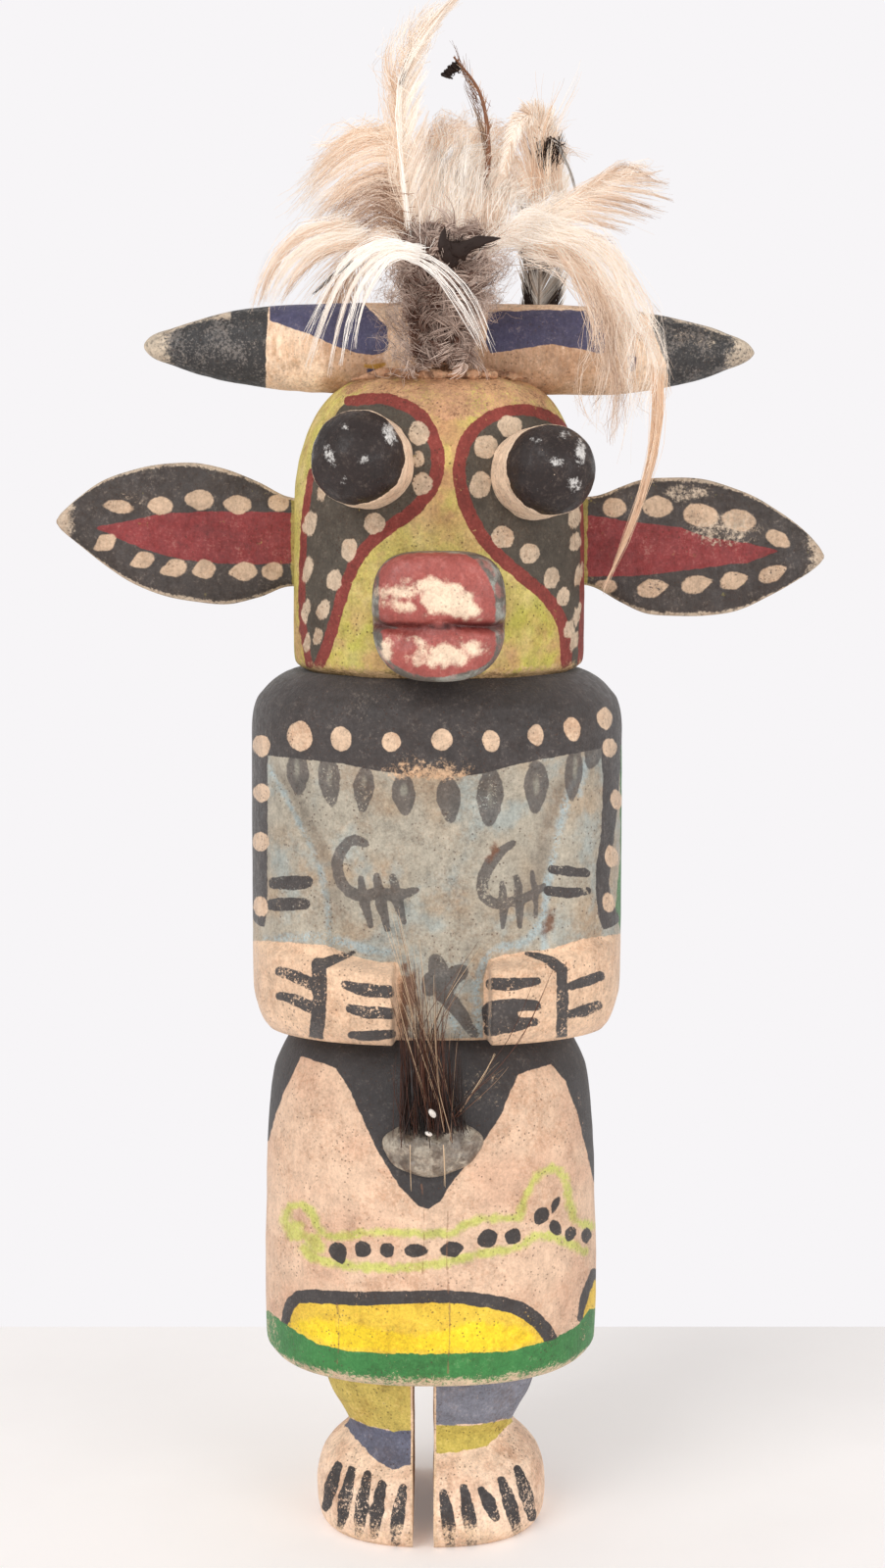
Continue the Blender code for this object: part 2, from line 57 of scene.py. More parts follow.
# Sizes of the carving, in metres
LEG_HEIGHT = 0.0445
TORSO_BASE = 0.1255
HEAD_BASE = 0.2095
CROWN = 0.2800
KILT = dict(base=0.0426, height=0.0829, width=0.0810, depth=0.0720, power=2.25, centre=-0.0015)
TORSO = dict(base=0.1255, height=0.0840, width=0.0888, depth=0.0720, power=2.35, centre=0.0)
HEAD = dict(base=0.2095, height=0.0705, width=0.0694, depth=0.0670, power=2.25, centre=0.0006)
KILT_SHAPE = [
    (0.0, 0.857), (0.012, 0.938), (0.037, 0.983), (0.074, 1.0), (0.30, 1.0), (0.45, 0.992), (0.59, 0.987),
    (0.73, 0.970), (0.83, 0.946), (0.873, 0.918), (0.936, 0.852), (0.975, 0.79), (1.008, 0.75),
]
TORSO_SHAPE = [
    (0.0, 0.937), (0.02, 0.962), (0.06, 0.987), (0.11, 1.0), (0.30, 1.0), (0.55, 1.0), (0.74, 1.0),
    (0.855, 0.998), (0.914, 0.975), (0.942, 0.938), (0.969, 0.888), (0.988, 0.832), (1.0, 0.777),
]
HEAD_SHAPE = [
    (-0.004, 0.89), (0.003, 0.91), (0.018, 0.965), (0.045, 0.994), (0.15, 1.0), (0.30, 1.0), (0.45, 0.997),
    (0.604, 0.985), (0.67, 0.966), (0.725, 0.942), (0.817, 0.875), (0.899, 0.775), (0.95, 0.645),
    (0.983, 0.44), (0.997, 0.21), (1.0, 0.05),
]
MM_PER_STEP = 0.235


def smooth(value):
    """Eased step: s squared times (3 - 2 s), with s held between 0 and 1."""
    value = np.clip(value, 0.0, 1.0)
    return value * value * (3.0 - 2.0 * value)


def ramp(value, low, high):
    """Eased step from 0 where the value is low to 1 where it is high."""
    return smooth((value - low) / (high - low))


def cloud(points, size, seed):
    """Soft random field from -1 to 1: hashed values at the corners of a lattice of the given
    spacing, blended along the three directions with the eased step."""
    spot = np.asarray(points) / size + 1000.0
    cell = np.floor(spot).astype(np.int64)
    part = spot - cell
    part = part * part * (3.0 - 2.0 * part)
    total = np.zeros(spot.shape[:-1])
    for corner in range(8):
        step = np.array([corner & 1, corner >> 1 & 1, corner >> 2 & 1])
        at = cell + step
        mixed = at[..., 0] * 73856093 ^ at[..., 1] * 19349663 ^ at[..., 2] * 83492791 ^ seed * 2654435761
        mixed &= 0xFFFFFFFF
        mixed = (mixed ^ mixed >> 13) * 1274126177 & 0xFFFFFFFF
        mixed ^= mixed >> 16
        share = np.prod(np.where(step == 1, part, 1.0 - part), axis=-1)
        total += share * (mixed / 2 ** 31 - 1.0)
    return total


def along(knots, count, closed=False):
    """Even steps on a smooth curve through the knots: cubic pieces whose slope at each knot is half
    the chord between its two neighbours, then spaced by running length."""
    knots = np.asarray(knots, dtype=float)
    if closed:
        padded = np.vstack([knots[-1], knots, knots[0], knots[1]])
        pieces = len(knots)
    else:
        padded = np.vstack([2 * knots[0] - knots[1], knots, 2 * knots[-1] - knots[-2]])
        pieces = len(knots) - 1
    t = np.linspace(0, 1, 16, endpoint=False)[None, :, None]
    a, b, c, d = (padded[k:k + pieces][:, None, :] for k in range(4))
    curve = 0.5 * (2 * b + (c - a) * t + (2 * a - 5 * b + 4 * c - d) * t ** 2
                   + (3 * b - a - 3 * c + d) * t ** 3)
    curve = np.vstack([curve.reshape(-1, knots.shape[1]), knots[0 if closed else -1]])
    run = np.concatenate([[0], np.cumsum(np.linalg.norm(np.diff(curve, axis=0), axis=1))])
    steps = np.linspace(0, run[-1], count, endpoint=not closed)
    return np.stack([np.interp(steps, run, curve[:, k]) for k in range(knots.shape[1])], axis=1)


def link_mesh(name, points, corners, sizes, fields):
    """Mesh from flat arrays: all corners in face order, and the number of corners of each face."""
    mesh = bpy.data.meshes.new(name)
    mesh.vertices.add(len(points))
    mesh.vertices.foreach_set("co", np.asarray(points, dtype=np.float32).ravel())
    mesh.loops.add(len(corners))
    mesh.loops.foreach_set("vertex_index", np.asarray(corners, dtype=np.int32))
    mesh.polygons.add(len(sizes))
    starts = np.concatenate([[0], np.cumsum(sizes)[:-1]]).astype(np.int32)
    mesh.polygons.foreach_set("loop_start", starts)
    mesh.update(calc_edges=True)
    mesh.validate()
    for field, values in (fields or {}).items():
        layer = mesh.attributes.new(field, "FLOAT", "POINT")
        layer.data.foreach_set("value", np.asarray(values, dtype=np.float32).ravel())
    mesh.shade_smooth()
    piece = bpy.data.objects.new(name, mesh)
    bpy.context.collection.objects.link(piece)
    return piece


def skin(name, grid, fields=None):
    """Closed surface over a grid of points, rows by columns: the columns run round and close on
    themselves, and the first and last rows are each drawn together in one middle point."""
    rows, columns = grid.shape[:2]
    points = np.vstack([grid.reshape(-1, 3), grid[0].mean(axis=0), grid[-1].mean(axis=0)])
    index = np.arange(rows * columns).reshape(rows, columns)
    right = np.roll(index, -1, axis=1)
    quads = np.stack([index[:-1], right[:-1], right[1:], index[1:]], axis=-1).reshape(-1, 4)
    first, last = rows * columns, rows * columns + 1
    low_fan = np.stack([right[0], index[0], np.full(columns, first)], axis=-1)
    high_fan = np.stack([index[-1], right[-1], np.full(columns, last)], axis=-1)
    corners = np.concatenate([quads.ravel(), low_fan.ravel(), high_fan.ravel()])
    sizes = np.concatenate([np.full(len(quads), 4), np.full(2 * columns, 3)])
    packed = {}
    for field, values in (fields or {}).items():
        ends = [values[0].mean(), values[-1].mean()]
        packed[field] = np.concatenate([values.ravel(), ends])
    return link_mesh(name, points, corners, sizes, packed)


def strands(name, paths, radii, fields=None, flat=None, sides=3):
    """Many thin closed tubes: each path is carried round by a small ring of points across it. The
    ring is squeezed along the flat direction where one is given. Both ends are capped."""
    paths = np.asarray(paths, dtype=float)
    count, steps = paths.shape[:2]
    run = np.gradient(paths, axis=1)
    run /= np.linalg.norm(run, axis=2, keepdims=True) + 1e-12
    lean = np.array([0.31, 0.22, 0.92]) if flat is None else flat
    side = np.cross(run, np.broadcast_to(lean, run.shape))
    side /= np.linalg.norm(side, axis=2, keepdims=True) + 1e-12
    up = np.cross(side, run)
    turn = np.arange(sides) * 2 * math.pi / sides
    squeeze = 1.0 if flat is None else 0.35
    ring = (np.cos(turn)[None, None, :, None] * side[:, :, None, :]
            + squeeze * np.sin(turn)[None, None, :, None] * up[:, :, None, :])
    points = paths[:, :, None, :] + ring * np.asarray(radii)[:, :, None, None]
    index = np.arange(count * steps * sides).reshape(count, steps, sides)
    right = np.roll(index, -1, axis=2)
    quads = np.stack([index[:, :-1], index[:, 1:], right[:, 1:], right[:, :-1]], axis=-1).reshape(-1, 4)
    starts = index[:, 0].reshape(-1, sides)
    ends = index[:, -1, ::-1].reshape(-1, sides)
    corners = np.concatenate([quads.ravel(), starts.ravel(), ends.ravel()])
    sizes = np.concatenate([np.full(len(quads), 4), np.full(2 * count, sides)])
    packed = {field: np.repeat(np.asarray(values).ravel(), sides) for field, values in (fields or {}).items()}
    return link_mesh(name, points.reshape(-1, 3), corners, sizes, packed)


# Painted marks are laid out on a flat drawing of the front, in steps of 0.235 mm from its top left
# corner. Distances are in millimetres, below zero inside a mark.
def on_drawing(points):
    """Where each point falls on the front drawing: straight lines from the viewpoint, with the view
    tipped down by its pitch."""
    offset = np.asarray(points) - EYE_POINT
    ahead = offset[..., 1] * math.cos(EYE_PITCH) - offset[..., 2] * math.sin(EYE_PITCH)
    above = offset[..., 1] * math.sin(EYE_PITCH) + offset[..., 2] * math.cos(EYE_PITCH)
    across = FRAME_SHORT / 2 + FOCAL * offset[..., 0] / ahead
    down = FRAME_LONG / 2 - FOCAL * above / ahead
    return np.stack([across, down], axis=-1)


def near(spots, outline, margin):
    """Which spots lie in the outline's box widened by a margin."""
    low = outline.min(axis=0) - margin
    high = outline.max(axis=0) + margin
    return np.all((spots > low) & (spots < high), axis=-1)


def to_segments(spots, starts, ends):
    """Distance from each spot to each straight segment, and how far along it the nearest place is."""
    run = ends - starts
    offset = spots[:, None, :] - starts[None]
    share = np.clip((offset * run).sum(-1) / ((run * run).sum(-1) + 1e-9), 0, 1)
    gap = np.linalg.norm(offset - share[..., None] * run, axis=-1)
    return gap, share


def area(spots, knots, curved=True, margin=30.0):
    """Signed distance to a closed outline: the nearest edge, below zero where a level ray crosses
    the outline an odd number of times."""
    outline = along(knots, max(24, 6 * len(knots)), closed=True) if curved else np.asarray(knots, float)
    result = np.full(spots.shape[:-1], 9.0)
    chosen = near(spots, outline, margin)
    some = spots[chosen]
    if len(some):
        ends = np.roll(outline, -1, axis=0)
        gap, _ = to_segments(some, outline, ends)
        over = (outline[None, :, 1] > some[:, 1:2]) != (ends[None, :, 1] > some[:, 1:2])
        slope = (ends[:, 0] - outline[:, 0]) / (ends[:, 1] - outline[:, 1] + 1e-9)
        cross = outline[None, :, 0] + (some[:, 1:2] - outline[None, :, 1]) * slope[None]
        odd = (over & (some[:, 0:1] < cross)).sum(axis=1) % 2 == 1
        result[chosen] = np.where(odd, -1, 1) * gap.min(axis=1) * MM_PER_STEP
    return result


def stroke(spots, knots, width, curved=True, margin=26.0):
    """Distance to a brush line less half its width, which may change along it."""
    knots = np.asarray(knots, dtype=float)
    count = max(2, 5 * (len(knots) - 1) + 1) if curved else len(knots)
    line = along(knots, count) if curved and len(knots) > 2 else knots
    widths = np.interp(np.linspace(0, 1, len(line)), np.linspace(0, 1, np.size(width)), np.ravel(width))
    result = np.full(spots.shape[:-1], 9.0)
    chosen = near(spots, line, margin)
    some = spots[chosen]
    if len(some):
        gap, share = to_segments(some, line[:-1], line[1:])
        half = 0.5 * (widths[:-1] + share * (widths[1:] - widths[:-1]))
        result[chosen] = (gap - half).min(axis=1) * MM_PER_STEP
    return result


def dab(spots, centre, wide, tall, turn=0.0, point=0.0):
    """Distance to a dot: an oval turned by some degrees, drawn out to a point at its lower end."""
    result = np.full(spots.shape[:-1], 9.0)
    centre = np.asarray(centre, dtype=float)
    chosen = near(spots, centre[None], 2.2 * max(wide, tall))
    some = spots[chosen] - centre
    if len(some):
        c, s = math.cos(math.radians(turn)), math.sin(math.radians(turn))
        x = some[:, 0] * c + some[:, 1] * s
        y = some[:, 1] * c - some[:, 0] * s
        narrow = 1.0 - point * np.clip(y / (tall / 2), 0, 1)
        size = np.sqrt((x / (wide / 2 * narrow)) ** 2 + (y / (tall / 2)) ** 2)
        result[chosen] = (size - 1) * min(wide, tall) / 2 * MM_PER_STEP
    return result


def all_of(first, *rest):
    """The nearest of several marks: the least of their distances."""
    for other in rest:
        first = np.minimum(first, other)
    return first


# Shader node groups shared by the finishes
def colour(red, green, blue):
    """Screen colour, 0 to 255, turned into the linear colour that shaders take."""
    parts = np.array([red, green, blue]) / 255.0
    linear = np.where(parts <= 0.04045, parts / 12.92, ((parts + 0.055) / 1.055) ** 2.4)
    return (*[float(part) for part in linear], 1.0)


def add(tree, kind, **settings):
    made = tree.nodes.new("ShaderNode" + kind)
    for key, value in settings.items():
        setattr(made, key, value)
    return made


def feed(tree, socket, value):
    """Joins a socket to another one, or sets its plain value."""
    if isinstance(value, bpy.types.NodeSocket):
        tree.links.new(value, socket)
    else:
        socket.default_value = value


def maths(tree, operation, first, second=0.0, clamp=False):
    made = add(tree, "Math", operation=operation, use_clamp=clamp)
    feed(tree, made.inputs[0], first)
    feed(tree, made.inputs[1], second)
    return made.outputs[0]


def blend(tree, share, first, second, way="MIX"):
    made = add(tree, "Mix", data_type="RGBA", blend_type=way, clamp_factor=True)
    feed(tree, made.inputs[0], share)
    feed(tree, made.inputs[6], first)
    feed(tree, made.inputs[7], second)
    return made.outputs[2]


def span(tree, value, low, high, new_low=0.0, new_high=1.0):
    made = add(tree, "MapRange", interpolation_type="SMOOTHSTEP")
    for socket, number in zip(made.inputs, (value, low, high, new_low, new_high)):
        feed(tree, socket, number)
    return made.outputs[0]


def noise(tree, scale, detail=2.0, roughness=0.5, stretch=None, shift=0.0):
    """Noise on the piece's own coordinates, stretched along some of them where asked."""
    place = add(tree, "TexCoord").outputs["Object"]
    if stretch is not None or shift:
        mapping = add(tree, "Mapping")
        feed(tree, mapping.inputs["Vector"], place)
        mapping.inputs["Location"].default_value = (shift, shift * 0.7, shift * 1.3)
        mapping.inputs["Scale"].default_value = stretch or (1, 1, 1)
        place = mapping.outputs[0]
    made = add(tree, "TexNoise")
    feed(tree, made.inputs["Vector"], place)
    feed(tree, made.inputs["Scale"], scale)
    made.inputs["Detail"].default_value = detail
    made.inputs["Roughness"].default_value = roughness
    return made.outputs["Fac"]


def new_group(name, inputs, outputs):
    group = bpy.data.node_groups.new(name, "ShaderNodeTree")
    for label, kind, value in inputs:
        socket = group.interface.new_socket(name=label, in_out="INPUT", socket_type=kind)
        socket.default_value = value
    for label, kind in outputs:
        group.interface.new_socket(name=label, in_out="OUTPUT", socket_type=kind)
    return group, group.nodes.new("NodeGroupInput"), group.nodes.new("NodeGroupOutput")


FLOAT, TINT = "NodeSocketFloat", "NodeSocketColor"


def make_brush_edge():
    """Mask of a brushed mark from its distance in millimetres: the edge wanders with a soft noise,
    and the paint is broken where a grainy noise is high."""
    group, given, out = new_group(
        "brush edge",
        [("Distance", FLOAT, 0.0), ("Wander", FLOAT, 0.3), ("Broken", FLOAT, 0.2), ("Soft", FLOAT, 0.12)],
        [("Mask", FLOAT)],
    )
    slow = noise(group, 420.0, 2.0)
    fast = noise(group, 2600.0, 3.0, 0.65)
    sway = maths(group, "MULTIPLY", maths(group, "SUBTRACT", slow, 0.5), 3.0)
    sway = maths(group, "ADD", sway, maths(group, "MULTIPLY", maths(group, "SUBTRACT", fast, 0.5), 1.1))
    moved = maths(group, "ADD", given.outputs["Distance"], maths(group, "MULTIPLY", sway, given.outputs["Wander"]))
    soft = given.outputs["Soft"]
    inside = span(group, moved, soft, maths(group, "MULTIPLY", soft, -1.0))
    grains = noise(group, 1500.0, 5.0, 0.75, shift=3.1)
    patches = noise(group, 130.0, 3.0, 0.6, shift=7.7)
    worn = maths(group, "ADD", maths(group, "MULTIPLY", grains, 0.62), maths(group, "MULTIPLY", patches, 0.38))
    limit = maths(group, "SUBTRACT", 0.66, maths(group, "MULTIPLY", given.outputs["Broken"], 0.26))
    lost = span(group, worn, limit, maths(group, "ADD", limit, 0.05))
    kept = maths(group, "SUBTRACT", 1.0, lost)
    feed(group, out.inputs["Mask"], maths(group, "MULTIPLY", inside, kept))
    return group


def make_chalk():
    """Mottled mineral paint: the colour is scaled by four noises from 16 mm down to 0.6 mm, one of
    them drawn out upright as wood grain. Brown dirt lies where a cloudy noise is high, small dark
    pits sit in clumps, and high grains are rubbed pale. The height is the same grain less the pits."""
    group, given, out = new_group(
        "chalk paint",
        [("Color", TINT, (0.5, 0.5, 0.5, 1)), ("Mottle", FLOAT, 0.5), ("Dirt", FLOAT, 0.3), ("Pits", FLOAT, 0.6),
         ("Scuff", FLOAT, 0.2)],
        [("Color", TINT), ("Height", FLOAT)],
    )
    slow = noise(group, 62.0, 4.0, 0.6, shift=1.3)
    middle = noise(group, 290.0, 5.0, 0.68, shift=3.7)
    quick = noise(group, 1500.0, 4.0, 0.72)
    grain = noise(group, 900.0, 4.0, 0.65, stretch=(1.2, 1.2, 0.13), shift=5.2)
    value = None
    for part, weight in ((slow, 0.8), (middle, 1.3), (quick, 1.4), (grain, 0.45)):
        term = maths(group, "MULTIPLY", maths(group, "SUBTRACT", part, 0.5), weight)
        value = term if value is None else maths(group, "ADD", value, term)
    gain = maths(group, "ADD", 1.0, maths(group, "MULTIPLY", value, given.outputs["Mottle"]))
    grey = add(group, "CombineColor")
    for socket in grey.inputs:
        feed(group, socket, gain)
    tinted = blend(group, 1.0, given.outputs["Color"], grey.outputs[0], "MULTIPLY")
    cloudy = maths(group, "ADD", maths(group, "MULTIPLY", noise(group, 95.0, 6.0, 0.7, shift=8.8), 0.6),
                   maths(group, "MULTIPLY", noise(group, 1100.0, 4.0, 0.7, shift=2.1), 0.4))
    dirt = maths(group, "MULTIPLY", span(group, cloudy, 0.47, 0.63), given.outputs["Dirt"])
    tinted = blend(group, dirt, tinted, colour(196, 158, 128), "MULTIPLY")
    cells = add(group, "TexVoronoi")
    feed(group, cells.inputs["Vector"], add(group, "TexCoord").outputs["Object"])
    cells.inputs["Scale"].default_value = 950.0
    clump = span(group, noise(group, 150.0, 3.0, 0.6, shift=9.4), 0.42, 0.62)
    pit = maths(group, "MULTIPLY", span(group, cells.outputs["Distance"], 0.27, 0.14), clump)
    pit = maths(group, "MULTIPLY", pit, given.outputs["Pits"])
    tinted = blend(group, maths(group, "MULTIPLY", pit, 0.75), tinted, colour(74, 50, 38))
    high = maths(group, "ADD", maths(group, "MULTIPLY", quick, 0.55), maths(group, "MULTIPLY", middle, 0.45))
    scuff = maths(group, "MULTIPLY", span(group, high, 0.54, 0.66), given.outputs["Scuff"])
    tinted = blend(group, maths(group, "MULTIPLY", scuff, 0.7), tinted, colour(200, 182, 164))
    feed(group, out.inputs["Color"], tinted)
    height = maths(group, "ADD", maths(group, "MULTIPLY", quick, 0.5), maths(group, "MULTIPLY", middle, 0.9))
    height = maths(group, "ADD", height, maths(group, "MULTIPLY", grain, 0.3))
    feed(group, out.inputs["Height"], maths(group, "SUBTRACT", height, maths(group, "MULTIPLY", pit, 0.35)))
    return group


def make_root_wood():
    """Bare root wood: fine fibres stretched along one direction over a warm body colour."""
    group, given, out = new_group(
        "root wood",
        [("Light", TINT, colour(226, 186, 146)), ("Dark", TINT, colour(150, 100, 64))],
        [("Color", TINT), ("Height", FLOAT)],
    )
    fibre = noise(group, 1300.0, 5.0, 0.7, stretch=(1.0, 1.0, 0.10))
    blot = noise(group, 120.0, 3.0, 0.6, shift=4.4)
    share = maths(group, "ADD", maths(group, "MULTIPLY", fibre, 0.8), maths(group, "MULTIPLY", blot, 0.6))
    feed(group, out.inputs["Color"], blend(group, span(group, share, 0.5, 0.95), given.outputs[0], given.outputs[1]))
    feed(group, out.inputs["Height"], fibre)
    return group


def make_rubbed():
    """Where paint has gone: the wear field, broken up by grainy noise."""
    group, given, out = new_group("rubbed edge", [("Wear", FLOAT, 0.0), ("Amount", FLOAT, 0.5)], [("Mask", FLOAT)])
    grains = noise(group, 1100.0, 6.0, 0.8, shift=2.2)
    patches = noise(group, 240.0, 4.0, 0.65, shift=6.1)
    rough = maths(group, "ADD", maths(group, "MULTIPLY", grains, 0.75), maths(group, "MULTIPLY", patches, 0.35))
    pushed = maths(group, "ADD", rough, maths(group, "MULTIPLY", given.outputs["Wear"], given.outputs["Amount"]))
    feed(group, out.inputs["Mask"], span(group, pushed, 0.80, 0.94))
    return group


BRUSH = make_brush_edge()
CHALK = make_chalk()
ROOT_WOOD = make_root_wood()
RUBBED = make_rubbed()


class Finish:
    """One material being built up in coats, from the bottom one to the top one."""

    def __init__(self, name, rough=0.7, specular=0.4):
        self.material = bpy.data.materials.new(name)
        self.material.use_nodes = True
        self.tree = self.material.node_tree
        self.shader = self.tree.nodes["Principled BSDF"]
        self.shader.inputs["Roughness"].default_value = rough
        self.shader.inputs["Specular IOR Level"].default_value = specular
        self.top = (0.8, 0.8, 0.8, 1.0)
        self.heights = []

    def use(self, group, **values):
        made = add(self.tree, "Group", node_tree=group)
        for label, value in values.items():
            feed(self.tree, made.inputs[label], value)
        return made.outputs

    def field(self, name):
        return add(self.tree, "Attribute", attribute_name=name).outputs["Fac"]

    def wood(self, light=(226, 186, 146), dark=(150, 100, 64)):
        got = self.use(ROOT_WOOD, Light=colour(*light), Dark=colour(*dark))
        self.top = got["Color"]
        self.heights.append((got["Height"], 0.5))
        return self

    def ground(self, tint):
        self.top = colour(*tint)
        return self

    def coat(self, tint, field, wander=0.25, broken=0.2, soft=0.12, strength=1.0):
        """Paint over what is there, where the named distance field is below zero."""
        mask = self.use(BRUSH, Distance=self.field(field), Wander=wander, Broken=broken, Soft=soft)["Mask"]
        if strength < 1.0:
            mask = maths(self.tree, "MULTIPLY", mask, strength)
        self.top = blend(self.tree, mask, self.top, tint if not isinstance(tint, tuple) else colour(*tint))
        return mask

    def cloudy(self, tint, scale, low, high, strength=1.0, shift=0.0, stretch=None):
        """A second colour where a noise is high."""
        fac = span(self.tree, noise(self.tree, scale, 4.0, 0.65, stretch, shift), low, high, 0.0, strength)
        self.top = blend(self.tree, fac, self.top, colour(*tint))
        return fac

    def chalk(self, mottle=0.5, dirt=0.3, pits=0.6, scuff=0.2):
        got = self.use(CHALK, Color=self.top, Mottle=mottle, Dirt=dirt, Pits=pits, Scuff=scuff)
        self.top = got["Color"]
        self.heights.append((got["Height"], 1.0))
        return self

    def shine(self, low, high, scale=600.0):
        """Roughness between two values, by a noise."""
        value = span(self.tree, noise(self.tree, scale, 4.0, 0.65, shift=4.9), 0.36, 0.64, low, high)
        feed(self.tree, self.shader.inputs["Roughness"], value)
        return self

    def rub(self, field, amount, tint):
        mask = self.use(RUBBED, Wear=self.field(field), Amount=amount)["Mask"]
        self.top = blend(self.tree, mask, self.top, tint if not isinstance(tint, tuple) else colour(*tint))
        return mask

    def done(self, relief=0.00030):
        feed(self.tree, self.shader.inputs["Base Color"], self.top)
        total = None
        for height, weight in self.heights:
            part = maths(self.tree, "MULTIPLY", height, weight)
            total = part if total is None else maths(self.tree, "ADD", total, part)
        if total is not None:
            bump = add(self.tree, "Bump")
            bump.inputs["Distance"].default_value = relief
            bump.inputs["Strength"].default_value = 1.0
            feed(self.tree, bump.inputs["Height"], total)
            feed(self.tree, self.shader.inputs["Normal"], bump.outputs["Normal"])
        return self.material


def place(piece, material, slot, *nodes):
    """Gives a piece its finish, lets it ride on the doll and hides the solids it stands for."""
    piece.data.materials.append(material)
    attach(piece, "root")
    for node in nodes:
        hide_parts(node)
    return piece


# The carving: three stacked blocks, each a ring of rounded-oblong outline carried up a profile
def reach(angle, half_x, half_y, power):
    """Radius of a rounded oblong at an angle from the front: the sum of the sine and cosine, each
    over its half size and raised to the power, taken to minus one over the power."""
    across = np.abs(np.sin(angle) / half_x) ** power
    deep = np.abs(np.cos(angle) / half_y) ** power
    return (across + deep) ** (-1.0 / power)


def block(size, shape, rows, columns, cap_rows=5):
    """Grid of a carved block: the smooth profile gives each row its height and share of the width,
    the columns lie closer together on the front, and a few rows close each end."""
    profile = along(np.array(shape) * [size["height"], size["width"] / 2], rows)
    low = np.stack([np.full(cap_rows, profile[0, 0]), profile[0, 1] * np.linspace(0.06, 0.97, cap_rows)], 1)
    high = np.stack([np.full(cap_rows, profile[-1, 0]), profile[-1, 1] * np.linspace(0.97, 0.06, cap_rows)], 1)
    profile = np.vstack([low, profile, high])
    t = (np.arange(columns) / columns - 0.5) * 2 * math.pi
    angle = t - 0.42 * np.sin(t)
    share = profile[:, 1] / (size["width"] / 2)
    radius = reach(angle[None], size["width"] / 2, size["depth"] / 2, size["power"]) * share[:, None]
    x = size["centre"] + radius * np.sin(angle)
    y = -radius * np.cos(angle)
    z = np.broadcast_to(size["base"] + profile[:, :1], x.shape)
    return np.stack([x, y, z], axis=-1), angle


def carved(grid, centre, coarse, fine, seed):
    """Knife facets: each point moves in or out from the block's axis by two soft random fields."""
    out = grid[..., :2] - [centre, 0.0]
    out = out / (np.linalg.norm(out, axis=-1, keepdims=True) + 1e-9)
    push = coarse * cloud(grid * [1, 1, 0.6], 0.013, seed) + fine * cloud(grid, 0.0035, seed + 1)
    grid[..., :2] += out * push[..., None]
    return grid


def faces_viewer(grid, centre):
    """Front half of a block, up to its outline from the viewpoint."""
    out = grid[..., :2] - [centre, 0.0]
    return (out * (EYE_POINT[:2] - grid[..., :2])).sum(-1) > 0


